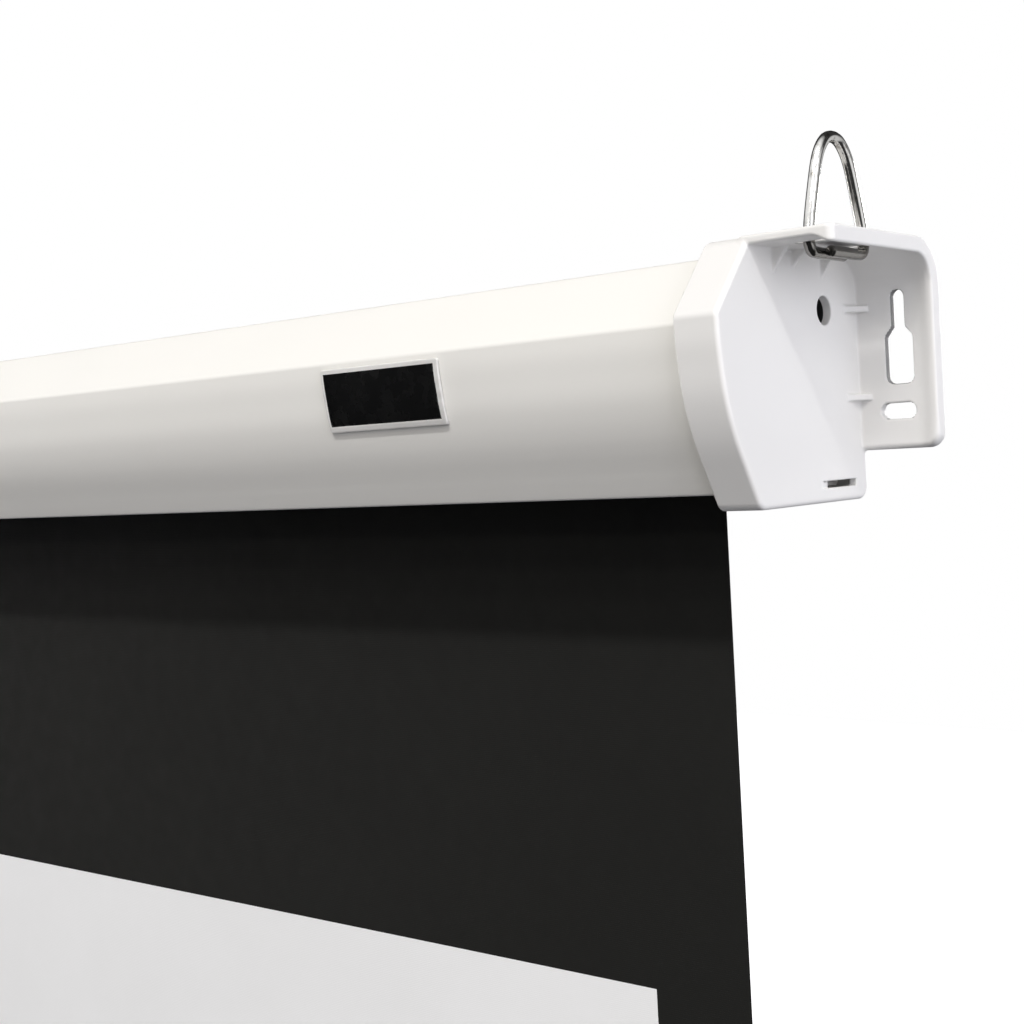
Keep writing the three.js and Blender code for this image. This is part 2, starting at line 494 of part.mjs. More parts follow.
const bumper = joined(
  alongX(rounded([[FABRIC_Y - 9, BAR_TOP_Z + 0.3, 0.8], [FABRIC_Y + 9, BAR_TOP_Z + 0.3, 0.8], [FABRIC_Y + 9, BAR_TOP_Z + 5, 1.5], [FABRIC_Y - 9, BAR_TOP_Z + 5, 1.5]], 2), -14, -3),
  block(-13, -4, FABRIC_Y - 0.55, FABRIC_Y + 0.55, BAR_TOP_Z - 2.2, BAR_TOP_Z + 1));

// pull handle: a saddle screwed under the bar and a bail that swings in it
const SADDLE_Z = BAR_BOTTOM_Z - 0.3;
const PIVOT_Z = BAR_BOTTOM_Z - 10;
const handleBase = (() => {
  let m = solid(alongZ(rounded([[-44, FABRIC_Y - 9, 4], [44, FABRIC_Y - 9, 4], [44, FABRIC_Y + 9, 4], [-44, FABRIC_Y + 9, 4]], 2), SADDLE_Z - 4, SADDLE_Z));
  for (const s of [-1, 1]) {
    const lug = alongX(rounded([[FABRIC_Y - 5.5, SADDLE_Z - 3, 0], [FABRIC_Y - 5.5, PIVOT_Z - 5.5, 4.5], [FABRIC_Y + 5.5, PIVOT_Z - 5.5, 4.5], [FABRIC_Y + 5.5, SADDLE_Z - 3, 0]], 3), ...(s > 0 ? [31, 37] : [-37, -31]));
    m = m.add(solid(lug)).subtract(solid(alongX(circle(FABRIC_Y, PIVOT_Z, 2.9, 16), ...(s > 0 ? [29, 39] : [-39, -29]))));
    m = m.subtract(solid(alongZ(circle(s * HANDLE_SCREW_X, FABRIC_Y, 1.75, 12), SADDLE_Z - 6, SADDLE_Z + 1)))
      .subtract(solid(alongZ(circle(s * HANDLE_SCREW_X, FABRIC_Y, 3.5, 14), SADDLE_Z - 6, SADDLE_Z - 2)));
  }
  return geometryOf(m);
})();
const handleScrew = screw(6.3, 1.4, 3.1, 1.7).rotateY(Math.PI / 2).translate(0, FABRIC_Y, SADDLE_Z - 2.3);
const pullHandle = (() => {
  const y = FABRIC_Y, z = PIVOT_Z;
  return wire([
    V(30.5, y, z), V(36, y, z), V(40, y, z - 0.4), V(43.3, y, z - 2.6), V(44.6, y, z - 7), V(44.4, y, z - 18), V(42.6, y, z - 28),
    V(38, y, z - 34.4), V(30, y, z - 37.6), V(15, y, z - 38.6), V(0, y, z - 38.8), V(-15, y, z - 38.6), V(-30, y, z - 37.6), V(-38, y, z - 34.4),
    V(-42.6, y, z - 28), V(-44.4, y, z - 18), V(-44.6, y, z - 7), V(-43.3, y, z - 2.6), V(-40, y, z - 0.4), V(-36, y, z), V(-30.5, y, z),
  ], 2.5, 60, 8);
})();

// ---------------------------------------------------------------- the badge
// A bare badge stuck to the bowed front of the case.
const labelPlate = (() => {
  const face = [[-27.2], [-32.5], [-38], [-43.5], [-48.6]].map(([z]) => {
    for (let i = 0; i < CASE_OUTLINE.length; i++) {
      const a = CASE_OUTLINE[i], b = CASE_OUTLINE[(i + 1) % CASE_OUTLINE.length];
      if (a[0] < -70 && b[0] < -60 && a[1] >= z && b[1] < z) {
        const t = (z - a[1]) / (b[1] - a[1]);
        const n = [b[1] - a[1], -(b[0] - a[0])];
        const l = Math.hypot(...n);
        return [a[0] + (b[0] - a[0]) * t, z, n[0] / l, n[1] / l];
      }
    }
    throw new Error('the badge is off the case');
  });
  const at = (d) => face.map(([y, z, ny, nz]) => [y + ny * d, z + nz * d]);
  return alongX([...at(0.3), ...at(1.1).reverse()], HALF - 165.5, HALF - 109.5);
})();

// ------------------------------------------------------------------ assembly
const screen = new THREE.Group();
const caseGroup = new THREE.Group();
const rollerGroup = new THREE.Group();
const dropGroup = new THREE.Group();
screen.add(caseGroup, rollerGroup, dropGroup);

caseGroup.add(piece('housing_case', housingCase, whitePaint), piece('label_plate', labelPlate, labelFace));

for (const s of [1, -1]) {
  const side = s > 0 ? 'right' : 'left';
  const end = new THREE.Group();
  end.position.x = s * HALF;
  caseGroup.add(end);
  const put = (name, geometry, material, group = end) => {
    const g = geometry.index ? geometry.clone() : clean(geometry);
    group.add(piece(name, s > 0 ? g : mirrored(g), material));
  };
  put(`end_cap_${side}`, endCap, whitePlastic);
  put(`hanging_ring_${side}`, hook, chrome);
  put(`roller_bracket_${side}`, s > 0 ? rollerBracketRight : rollerBracketLeft, zincSteel);
  put(`cap_screw_${side}`, recessScrew, zincSteel);
  put(`bracket_screw_front_${side}`, innerScrew(P_FRONT), zincSteel);
  put(`bracket_screw_rear_${side}`, innerScrew(P_LOW), zincSteel);
  put(`case_screw_${side}`, caseScrew, zincSteel);
  const spin = new THREE.Group();
  spin.position.x = s * HALF;
  rollerGroup.add(spin);
  if (s > 0) {
    put('spring_rod', springRod, springSteel);
    put('spring_anchor', springAnchor, greyPlastic);
    put('torsion_spring', torsionSpring, springSteel);
    put('lock_ratchet', lockRatchet, zincSteel);
    put('pawl_carrier', pawlCarrier, greyPlastic, spin);
    put('spring_driver', springDriver, greyPlastic, spin);
    put('lock_pawl_upper', pawl(0), zincSteel, spin);
    put('lock_pawl_lower', pawl(1), zincSteel, spin);
    put('pawl_pin_upper', pawlPin(0), zincSteel, spin);
    put('pawl_pin_lower', pawlPin(1), zincSteel, spin);
  } else {
    put('idler_bush', idlerBush, nylon);
    put('idler_plug', idlerPlug, greyPlastic, spin);
    put('idler_pin', idlerPin, zincSteel, spin);
  }
  const tip = new THREE.Group();
  tip.position.x = s * BAR_X;
  dropGroup.add(tip);
  put(`weight_bar_cap_${side}`, barCap, blackPlastic, tip);
  put(`stop_bumper_${side}`, bumper, rubber, tip);
  const hs = handleScrew.clone();
  const hsm = piece(`handle_screw_${side}`, hs, zincSteel);
  hsm.position.x = s * HANDLE_SCREW_X;
  dropGroup.add(hsm);
}

rollerGroup.add(
  piece('roller_tube', rollerTube, aluminium),
  piece('fabric_spline', fabricSpline, blackPlastic),
  piece('fabric_roll', fabricRoll, fabricBlack),
);
dropGroup.add(
  piece('screen_fabric', screenFabric, fabricWhite),
  piece('fabric_hem', fabricHem, fabricBlack),
  piece('hem_rod', hemRod, zincSteel),
  piece('weight_bar', weightBar, blackPaint),
  piece('weight_rod', weightRod, springSteel),
  piece('handle_base', handleBase, blackPlastic),
  piece('pull_handle', pullHandle, blackPlastic),
);

export default screen;
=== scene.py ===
import math
import bpy
import bmesh
import numpy as np
from mathutils import Matrix, Vector


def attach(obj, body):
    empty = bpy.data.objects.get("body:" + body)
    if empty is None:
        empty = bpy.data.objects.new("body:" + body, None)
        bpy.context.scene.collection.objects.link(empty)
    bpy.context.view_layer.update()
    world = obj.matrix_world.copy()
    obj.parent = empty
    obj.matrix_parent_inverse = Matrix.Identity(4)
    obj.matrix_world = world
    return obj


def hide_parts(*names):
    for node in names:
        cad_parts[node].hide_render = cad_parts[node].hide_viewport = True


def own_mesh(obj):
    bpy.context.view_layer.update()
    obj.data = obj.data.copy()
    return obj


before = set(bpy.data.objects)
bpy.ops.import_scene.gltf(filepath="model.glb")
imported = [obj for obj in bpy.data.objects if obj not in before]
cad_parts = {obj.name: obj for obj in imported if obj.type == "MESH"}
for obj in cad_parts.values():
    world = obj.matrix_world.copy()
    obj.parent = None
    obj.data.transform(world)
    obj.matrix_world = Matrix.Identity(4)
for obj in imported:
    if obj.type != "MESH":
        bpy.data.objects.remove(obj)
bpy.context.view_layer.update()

# ------------------------------------------------------------------- camera
# The camera is solved from the case's edges and the end cap in the photograph.
HALF = 1007.5                      # half the length over the two end faces, mm
CAM = (1249.6, -468.9, -59.8)      # mm
YAW, PITCH, ROLL = math.radians(39.9), math.radians(-2.05), math.radians(-3.3)
fwd = Vector((-math.sin(YAW) * math.cos(PITCH), math.cos(YAW) * math.cos(PITCH), math.sin(PITCH)))
side = fwd.cross(Vector((0, 0, 1))).normalized()
over = side.cross(fwd)
right = side * math.cos(ROLL) + over * math.sin(ROLL)
up = over * math.cos(ROLL) - side * math.sin(ROLL)
cam = bpy.data.objects.new("camera", bpy.data.cameras.new("camera"))
bpy.context.scene.collection.objects.link(cam)
cam.matrix_world = Matrix((
    (right.x, up.x, -fwd.x, CAM[0] / 1000), (right.y, up.y, -fwd.y, CAM[1] / 1000),
    (right.z, up.z, -fwd.z, CAM[2] / 1000), (0, 0, 0, 1)))
cam.data.sensor_width = 36.0
cam.data.lens = 36.0 * 1600 / 1024
cam.data.clip_start, cam.data.clip_end = 0.02, 50
bpy.context.scene.camera = cam
bpy.context.scene.view_settings.view_transform = "Standard"

# ----------------------------------------------------------------- sections
CAP = [(0, -0.5), (-65.3, -0.5), (-85.2, -23.0), (-84.8, -31), (-84.0, -37), (-82.65, -45), (-80.55, -52),
       (-78.1, -58), (-75.55, -63), (-72.67, -68), (-68.62, -75), (-65.57, -80.3), (0, -80.3)]
BOW = (2, 10)                      # first and last corner of the bowed face
AXIS = (-43.0, -41.0)
FABRIC_Y = -23.0
BAR_TOP, BAR_BOTTOM = -1338.0, -1364.0
BAR_X = 985.0
PIVOT_Z = BAR_BOTTOM - 10
HX, HY = 14.3, -40.0               # plane and middle of a hanging ring, in end-face coordinates


def inset(pts, d):
    """Corners of a counterclockwise outline moved inwards by d."""
    out, n = [], len(pts)
    for i in range(n):
        p, c, q = pts[i - 1], pts[i], pts[(i + 1) % n]
        d1, d2 = (c[0] - p[0], c[1] - p[1]), (q[0] - c[0], q[1] - c[1])
        l1, l2 = math.hypot(*d1), math.hypot(*d2)
        n1, n2 = (-d1[1] / l1, d1[0] / l1), (-d2[1] / l2, d2[0] / l2)
        k = 1 + n1[0] * n2[0] + n1[1] * n2[1]
        out.append((c[0] + (n1[0] + n2[0]) * d / k, c[1] + (n1[1] + n2[1]) * d / k))
    return out


def bowed(pts, sub=5):
    """The section with its bowed stretch drawn as a smooth curve."""
    a, b = BOW
    bow = pts[a:b + 1]
    first = tuple(2 * np.array(bow[0]) - np.array(bow[1]))
    run = [first] + bow + [tuple(2 * np.array(bow[-1]) - np.array(bow[-2]))]
    out = []
    for i in range(1, len(run) - 2):
        p0, p1, p2, p3 = map(np.array, run[i - 1:i + 3])
        for k in range(sub):
            t = k / sub
            out.append(tuple(0.5 * ((2 * p1) + (p2 - p0) * t + (2 * p0 - 5 * p1 + 4 * p2 - p3) * t * t + (3 * p1 - p0 - 3 * p2 + p3) * t ** 3)))
    out.append(tuple(bow[-1]))
    return pts[:a] + out + pts[b + 1:]


def swollen(poly, r, step=10):
    """A counterclockwise outline moved out by r, with every outer corner an arc."""
    out, n = [], len(poly)
    for i in range(n):
        p, c, q = map(np.array, (poly[i - 1], poly[i], poly[(i + 1) % n]))
        a1 = math.atan2(-(c - p)[0], (c - p)[1])
        a2 = math.atan2(-(q - c)[0], (q - c)[1])
        turn = (a2 - a1 + math.pi) % (2 * math.pi) - math.pi
        if turn > 1e-6:
            k = max(1, int(math.ceil(math.degrees(turn) / step)))
            for j in range(k + 1):
                a = a1 + turn * j / k
                out.append((c[0] + r * math.cos(a), c[1] + r * math.sin(a)))
        else:
            a = a1 + turn / 2
            out.append((c[0] + r * math.cos(a) / math.cos(turn / 2), c[1] + r * math.sin(a) / math.cos(turn / 2)))
    return [p for i, p in enumerate(out) if math.dist(p, out[i - 1]) > 1e-4]


def rounded(corners, seg=6):
    """Corners [u, v, radius] with each one rounded."""
    out, n = [], len(corners)
    for i in range(n):
        x, y, r = (*corners[i], 0)[:3]
        if not r:
            out.append((x, y))
            continue
        P, Q = np.array(corners[i - 1][:2]) - (x, y), np.array(corners[(i + 1) % n][:2]) - (x, y)
        la, lb = np.linalg.norm(P), np.linalg.norm(Q)
        P, Q = P / la, Q / lb
        half = math.acos(np.clip(P @ Q, -1, 1)) / 2
        t = min(r / math.tan(half), la * .49, lb * .49)
        rr = t * math.tan(half)
        m = (P + Q) / np.linalg.norm(P + Q)
        c = np.array([x, y]) + m * rr / math.sin(half)
        s, e = np.array([x, y]) + P * t - c, np.array([x, y]) + Q * t - c
        turn = math.atan2(s[0] * e[1] - s[1] * e[0], s @ e)
        for k in range(seg + 1):
            a = turn * k / seg
            out.append((c[0] + s[0] * math.cos(a) - s[1] * math.sin(a), c[1] + s[0] * math.sin(a) + s[1] * math.cos(a)))
    return out


def eased(d, radii, sub=5, outline=CAP):
    """The section moved in by d and bowed, with these radii at its back top, front top, facet and bottom corners."""
    c = bowed(inset(outline, d), sub)
    k = len(CAP) - 1 - BOW[1]
    at = {0: radii[0], 1: radii[1], 2: radii[2], len(c) - k: radii[3], len(c) - 1: radii[3]}
    return rounded([(y, z, at.get(i, 0)) for i, (y, z) in enumerate(c)], 6)


# ------------------------------------------- smooth solids as distance fields
def sd_poly(u, v, poly):
    P = np.asarray(poly, float)
    d2, inside = np.full(u.shape, 1e18), np.zeros(u.shape, bool)
    for i in range(len(P)):
        a, b = P[i - 1], P[i]
        ex, ey = b - a
        wx, wy = u - a[0], v - a[1]
        t = np.clip((wx * ex + wy * ey) / (ex * ex + ey * ey), 0, 1)
        dx, dy = wx - ex * t, wy - ey * t
        np.minimum(d2, dx * dx + dy * dy, out=d2)
        if ey != 0:
            inside ^= ((a[1] <= v) != (b[1] <= v)) & (u < a[0] + (v - a[1]) * ex / ey)
    d = np.sqrt(d2)
    d[inside] *= -1
    return d


def smin(a, b, k):
    h = np.maximum(k - np.abs(a - b), 0) / k
    return np.minimum(a, b) - h * h * k * 0.25


def smax(a, b, k):
    return -smin(-a, -b, k)


def cross(a, b, r):
    """What is inside both, with a rounded edge of radius r where they meet."""
    a, b = a + r, b + r
    return np.minimum(np.maximum(a, b), 0) + np.sqrt(np.maximum(a, 0) ** 2 + np.maximum(b, 0) ** 2) - r


def slab(x, a, b):
    return np.abs(x - (a + b) / 2) - (b - a) / 2


def rect(u, v, u0, u1, v0, v1, r=0.0):
    return cross(slab(u, u0, u1), slab(v, v0, v1), r)


def disc(u, v, cu, cv, r):
    return np.hypot(u - cu, v - cv) - r


def nets(f, lo, hi, step):
    """The surface f = 0 in a box as quads: points on the surface itself, with its true normals."""
    ax = [np.arange(a, b + step, step) for a, b in zip(lo, hi)]
    n = [len(a) for a in ax]
    V = np.empty(n, np.float32)
    for i in range(0, n[0], 12):
        V[i:i + 12] = f(*np.meshgrid(ax[0][i:i + 12], ax[1], ax[2], indexing="ij"))
    S = V < 0
    tot = sum(S[i:n[0] - 1 + i, j:n[1] - 1 + j, k:n[2] - 1 + k].astype(np.int8) for i in (0, 1) for j in (0, 1) for k in (0, 1))
    cells = np.argwhere((tot > 0) & (tot < 8))
    idx = np.full([m - 1 for m in n], -1, np.int64)
    idx[tuple(cells.T)] = np.arange(len(cells))
    acc, cnt = np.zeros((len(cells), 3)), np.zeros(len(cells))
    org = np.stack([ax[a][cells[:, a]] for a in range(3)], 1)
    for c in [(i, j, k) for i in (0, 1) for j in (0, 1) for k in (0, 1)]:
        for a in range(3):
            if c[a]:
                continue
            e = list(c)
            e[a] = 1
            v0, v1 = V[tuple((cells + c).T)], V[tuple((cells + e).T)]
            m = (v0 < 0) != (v1 < 0)
            t = np.where(m, v0 / np.where(m, v0 - v1, 1), 0)
            p = np.array(c, float)[None].repeat(len(cells), 0)
            p[:, a] = t
            acc[m] += p[m]
            cnt[m] += 1
    P = org + acc / cnt[:, None] * step
    quads = []
    for a in range(3):
        b, c = (a + 1) % 3, (a + 2) % 3
        s0, s1 = [slice(None)] * 3, [slice(None)] * 3
        s0[a], s1[a] = slice(0, -1), slice(1, None)
        E = np.argwhere(S[tuple(s0)] != S[tuple(s1)])
        E = E[(E[:, b] > 0) & (E[:, b] < n[b] - 1) & (E[:, c] > 0) & (E[:, c] < n[c] - 1)]

        def cell(db, dc):
            q = E.copy()
            q[:, b] -= db
            q[:, c] -= dc
            return idx[tuple(q.T)]
        q = np.stack([cell(1, 1), cell(0, 1), cell(0, 0), cell(1, 0)], 1)
        first = S[tuple(E.T)]
        q[~first] = q[~first][:, ::-1]
        quads.append(q)

    def grad(P, h):
        g = np.empty_like(P)
        for a in range(3):
            o = np.zeros(3)
            o[a] = h
            g[:, a] = (f(*(P + o).T) - f(*(P - o).T)) / (2 * h)
        return g
    for _ in range(3):
        g, d = grad(P, 0.04), f(*P.T)
        s = -(d / np.maximum((g * g).sum(1), 0.25))[:, None] * g
        length = np.linalg.norm(s, axis=1, keepdims=True)
        P += s * np.minimum(1, 0.6 * step / np.maximum(length, 1e-9))
    N = grad(P, 0.1)
    N /= np.maximum(np.linalg.norm(N, axis=1, keepdims=True), 1e-9)
    return P, np.concatenate(quads), N


# ------------------------------------------------------------ mesh building
def link(name, me, body, mats, replaces=()):
    for m in mats:
        me.materials.append(m)
    o = bpy.data.objects.new(name, me)
    bpy.context.scene.collection.objects.link(o)
    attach(o, body)
    if replaces:
        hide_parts(*replaces)
    return o


def netted(name, P, Q, N, body, mat, replaces=(), shift=(0, 0, 0), flip=False):
    """A distance-field solid as an object. flip mirrors it to the other end."""
    P, N = np.array(P), np.array(N)
    if flip:
        P, N, Q = P * (-1, 1, 1), N * (-1, 1, 1), Q[:, ::-1]
    me = bpy.data.meshes.new(name)
    me.from_pydata(((P + shift) / 1000).tolist(), [], Q.tolist())
    me.polygons.foreach_set("use_smooth", [True] * len(me.polygons))
    me.normals_split_custom_set_from_vertices(N.tolist())
    return link(name, me, body, [mat], replaces)


def smooth(me, angle=32):
    me.polygons.foreach_set("use_smooth", [True] * len(me.polygons))
    me.set_sharp_from_angle(angle=math.radians(angle))


def prism(name, section, xs, body, mats, replaces=(), angle=32):
    """A closed section of (y, z) drawn along X through the stations xs, in mm."""
    n, verts, faces = len(section), [], []
    for x in xs:
        verts += [(x / 1000, y / 1000, z / 1000) for y, z in section]
    for i in range(len(xs) - 1):
        for j in range(n):
            k = (j + 1) % n
            faces.append((i * n + j, i * n + k, (i + 1) * n + k, (i + 1) * n + j))
    faces.append(tuple(range(n)))
    faces.append(tuple(reversed(range((len(xs) - 1) * n, len(xs) * n))))
    me = bpy.data.meshes.new(name)
    me.from_pydata(verts, [], faces)
    bm = bmesh.new()
    bm.from_mesh(me)
    bmesh.ops.recalc_face_normals(bm, faces=bm.faces)
    bm.to_mesh(me)
    bm.free()
    smooth(me, angle)
    return link(name, me, body, mats, replaces)


def ribbon(path, thick):
    """The closed section of a strip of this thickness along a path of (y, z)."""
    p = np.array(path, float)
    t = np.gradient(p, axis=0)
    t /= np.linalg.norm(t, axis=1, keepdims=True)
    n = np.stack([-t[:, 1], t[:, 0]], 1) * thick / 2
    return [tuple(q) for q in p + n] + [tuple(q) for q in (p - n)[::-1]]


def spline(points, per=8):
    """Points on a smooth curve through the given ones."""
    P = [np.array(p, float) for p in points]
    P = [2 * P[0] - P[1]] + P + [2 * P[-1] - P[-2]]
    out = []
    for i in range(1, len(P) - 2):
        p0, p1, p2, p3 = P[i - 1:i + 3]
        t0, t1 = 0.0, max(np.linalg.norm(p1 - p0), 1e-6) ** .5
        t2 = t1 + max(np.linalg.norm(p2 - p1), 1e-6) ** .5
        t3 = t2 + max(np.linalg.norm(p3 - p2), 1e-6) ** .5
        for k in range(per):
            t = t1 + (t2 - t1) * k / per
            a1 = (t1 - t) / (t1 - t0) * p0 + (t - t0) / (t1 - t0) * p1
            a2 = (t2 - t) / (t2 - t1) * p1 + (t - t1) / (t2 - t1) * p2
            a3 = (t3 - t) / (t3 - t2) * p2 + (t - t2) / (t3 - t2) * p3
            b1 = (t2 - t) / (t2 - t0) * a1 + (t - t0) / (t2 - t0) * a2
            b2 = (t3 - t) / (t3 - t1) * a2 + (t - t1) / (t3 - t1) * a3
            out.append((t2 - t) / (t2 - t1) * b1 + (t - t1) / (t2 - t1) * b2)
    out.append(P[-2])
    return np.array(out)


def tube(name, centre, radius, sides, body, mat, replaces=(), chamfer=0.35):
    """A round bar along a centreline, mm, with its cut ends broken at the edge. radius is one number or one per point."""
    C = np.array(centre, float)
    R = np.full(len(C), radius) if np.isscalar(radius) else np.array(radius, float)
    T = np.gradient(C, axis=0)
    T /= np.linalg.norm(T, axis=1, keepdims=True)
    ref = np.cross(T[0], (0, 1, 0)) if abs(T[0][1]) < 0.9 else np.cross(T[0], (1, 0, 0))
    ref /= np.linalg.norm(ref)
    rings = []
    for i, t in enumerate(T):
        ref = ref - t * (ref @ t)
        ref /= np.linalg.norm(ref)
        rings.append((C[i], ref.copy(), np.cross(t, ref), R[i], t))
    first, last = rings[0], rings[-1]
    rings = [(first[0] - first[4] * chamfer, *first[1:3], first[3] - chamfer, first[4])] + rings + \
            [(last[0] + last[4] * chamfer, *last[1:3], last[3] - chamfer, last[4])]
    verts, faces = [], []
    for c, u, v, r, _ in rings:
        for k in range(sides):
            a = 2 * math.pi * k / sides
            verts.append(tuple((c + r * (u * math.cos(a) + v * math.sin(a))) / 1000))
    for i in range(len(rings) - 1):
        for k in range(sides):
            m = (k + 1) % sides
            faces.append((i * sides + k, i * sides + m, (i + 1) * sides + m, (i + 1) * sides + k))
    faces += [tuple(reversed(range(sides))), tuple(range((len(rings) - 1) * sides, len(rings) * sides))]
    me = bpy.data.meshes.new(name)
    me.from_pydata(verts, [], faces)
    smooth(me, 40)
    return link(name, me, body, [mat], replaces)


# ---------------------------------------------------------------- materials
class Look:
    """A node material. Heights and scales are in metres of the object."""

    def __init__(self, name, color, rough, metal=0.0, **sockets):
        self.m = bpy.data.materials.new(name)
        self.m.use_nodes = True
        self.nt = self.m.node_tree
        self.b = self.nt.nodes["Principled BSDF"]
        self.b.inputs["Base Color"].default_value = (*color, 1)
        self.b.inputs["Roughness"].default_value = rough
        self.b.inputs["Metallic"].default_value = metal
        for k, v in sockets.items():
            self.b.inputs[k.replace("_", " ")].default_value = v
        self.color, self.rough = color, rough
        self.at = self.nt.nodes.new("ShaderNodeTexCoord").outputs["Object"]
        self.normal = None

    def node(self, kind, **props):
        n = self.nt.nodes.new(kind)
        for k, v in props.items():
            setattr(n, k, v)
        return n

    def stretched(self, scale):
        n = self.node("ShaderNodeMapping")
        n.inputs["Scale"].default_value = scale
        self.nt.links.new(self.at, n.inputs["Vector"])
        return n.outputs["Vector"]

    def noise(self, scale, detail=3.0, rough=0.5, stretch=None, distortion=0.0):
        n = self.node("ShaderNodeTexNoise")
        n.inputs["Scale"].default_value = scale
        n.inputs["Detail"].default_value = detail
        n.inputs["Roughness"].default_value = rough
        n.inputs["Distortion"].default_value = distortion
        self.nt.links.new(self.stretched(stretch) if stretch else self.at, n.inputs["Vector"])
        return n.outputs["Fac"]

    def wave(self, scale, direction, distortion=0.0):
        n = self.node("ShaderNodeTexWave", bands_direction=direction)
        n.inputs["Scale"].default_value = scale
        n.inputs["Distortion"].default_value = distortion
        self.nt.links.new(self.at, n.inputs["Vector"])
        return n.outputs["Fac"]

    def ramp(self, fac, low, high, a, b):
        n = self.node("ShaderNodeMapRange")
        for k, v in zip(("From Min", "From Max", "To Min", "To Max"), (low, high, a, b)):
            n.inputs[k].default_value = v
        self.nt.links.new(fac, n.inputs["Value"])
        return n.outputs["Result"]

    def mixed(self, fac, other, base=None):
        n = self.node("ShaderNodeMix", data_type="RGBA")
        self.nt.links.new(fac, n.inputs["Factor"])
        n.inputs["A"].default_value = (*(base or self.color), 1)
        n.inputs["B"].default_value = (*other, 1)
        return n.outputs["Result"]

    def multiply(self, a, b):
        n = self.node("ShaderNodeMath", operation="MULTIPLY")
        self.nt.links.new(a, n.inputs[0])
        self.nt.links.new(b, n.inputs[1])
        return n.outputs[0]

    def tint(self, fac, other):
        """Colour drifts from the base to other where fac is high."""
        self.nt.links.new(self.mixed(fac, other), self.b.inputs["Base Color"])
        return self

    def polish(self, fac, low, high):
        self.nt.links.new(self.ramp(fac, 0.3, 0.7, low, high), self.b.inputs["Roughness"])
        return self

    def bump(self, height, distance, strength=1.0):
        n = self.node("ShaderNodeBump")
        n.inputs["Strength"].default_value = strength
        n.inputs["Distance"].default_value = distance
        self.nt.links.new(height, n.inputs["Height"])
        if self.normal:
            self.nt.links.new(self.normal, n.inputs["Normal"])
        self.normal = n.outputs["Normal"]
        self.nt.links.new(self.normal, self.b.inputs["Normal"])
        return self

    def axes(self):
        n = self.node("ShaderNodeSeparateXYZ")
        self.nt.links.new(self.at, n.inputs[0])
        return n.outputs

    def box(self, *spans):
        """1 inside this box of |x|, y, z in mm, 0 outside."""
        x, y, z = self.axes()
        n = self.node("ShaderNodeMath", operation="ABSOLUTE")
        self.nt.links.new(x, n.inputs[0])
        fac = None
        for value, (a, b) in zip((n.outputs[0], y, z), spans):
            c = self.node("ShaderNodeMath", operation="COMPARE")
            self.nt.links.new(value, c.inputs[0])
            c.inputs[1].default_value, c.inputs[2].default_value = (a + b) / 2000, (b - a) / 2000
            fac = self.multiply(fac, c.outputs[0]) if fac else c.outputs[0]
        return fac

    def over(self, fac, other):
        """Where fac is high the colour so far gives way to other."""
        n = self.node("ShaderNodeMix", data_type="RGBA")
        self.nt.links.new(fac, n.inputs["Factor"])
        self.nt.links.new(self.b.inputs["Base Color"].links[0].from_socket, n.inputs["A"])
        n.inputs["B"].default_value = (*other, 1)
        self.nt.links.new(n.outputs["Result"], self.b.inputs["Base Color"])
        return self

    def edges(self, other, low=0.52, high=0.6):
        """Wear on outer edges, from the surface's own pointiness."""
        p = self.node("ShaderNodeNewGeometry").outputs["Pointiness"]
        f = self.multiply(self.ramp(p, low, high, 0, 1), self.ramp(self.noise(140, 4), 0.45, 0.62, 0, 1))
        self.nt.links.new(self.mixed(f, other), self.b.inputs["Base Color"])
        return self


def cap_plastic():
    k = Look("cap_plastic", (0.838, 0.828, 0.806), 0.5, Specular_IOR_Level=0.4)
    k.tint(k.ramp(k.noise(26, 3), 0.35, 0.75, 0, 1), (0.828, 0.818, 0.794))
    # painted shade: the deep part of the screw recess and the cut walls of the openings in the back plate are darkened
    # in the colour, standing in for the shade inside them
    k.over(k.box((HALF - 7.7, HALF - 2.9), (-28.2, -18.2), (-25.8, -15.8)), (0.02, 0.02, 0.02))
    k.over(k.box((HALF + 8.8, HALF + 20), (-2.6, -0.2), (-57, -12)), (0.3, 0.295, 0.29))
    k.polish(k.noise(60, 4), 0.46, 0.56)
    return k.bump(k.noise(2600, 2), 0.00003, 0.5).bump(k.noise(40, 2), 0.0002, 0.1).m


def case_paint():
    k = Look("case_paint", (0.86, 0.848, 0.808), 0.42, Specular_IOR_Level=0.4)
    k.tint(k.ramp(k.noise(5, 4, stretch=(0.25, 1, 1)), 0.4, 0.75, 0, 1), (0.853, 0.84, 0.798))
    k.polish(k.noise(30, 3), 0.38, 0.48)
    return k.bump(k.noise(900, 2), 0.00004, 0.5).bump(k.noise(8, 1, stretch=(0.3, 3, 3)), 0.0004, 0.08).m


def chrome():
    k = Look("chrome", (0.66, 0.655, 0.64), 0.1, 1.0)
    k.tint(k.ramp(k.noise(420, 4), 0.56, 0.72, 0, 1), (0.30, 0.285, 0.26))
    k.over(k.ramp(k.axes()[2], -0.001, -0.003, 0, 0.75), (0.13, 0.12, 0.11))      # painted shade: darker under the plate, where the ring lies in shade
    k.polish(k.noise(900, 3), 0.07, 0.2)
    return k.bump(k.noise(1500, 3, stretch=(1, 1, 0.15)), 0.00003, 0.5).m


def zinc():
    k = Look("zinc_steel", (0.56, 0.575, 0.59), 0.34, 1.0)
    k.tint(k.ramp(k.noise(180, 5), 0.45, 0.7, 0, 1), (0.42, 0.43, 0.42))
    k.polish(k.noise(260, 4), 0.26, 0.46)
    return k.bump(k.noise(1600, 3), 0.00003, 0.5).m


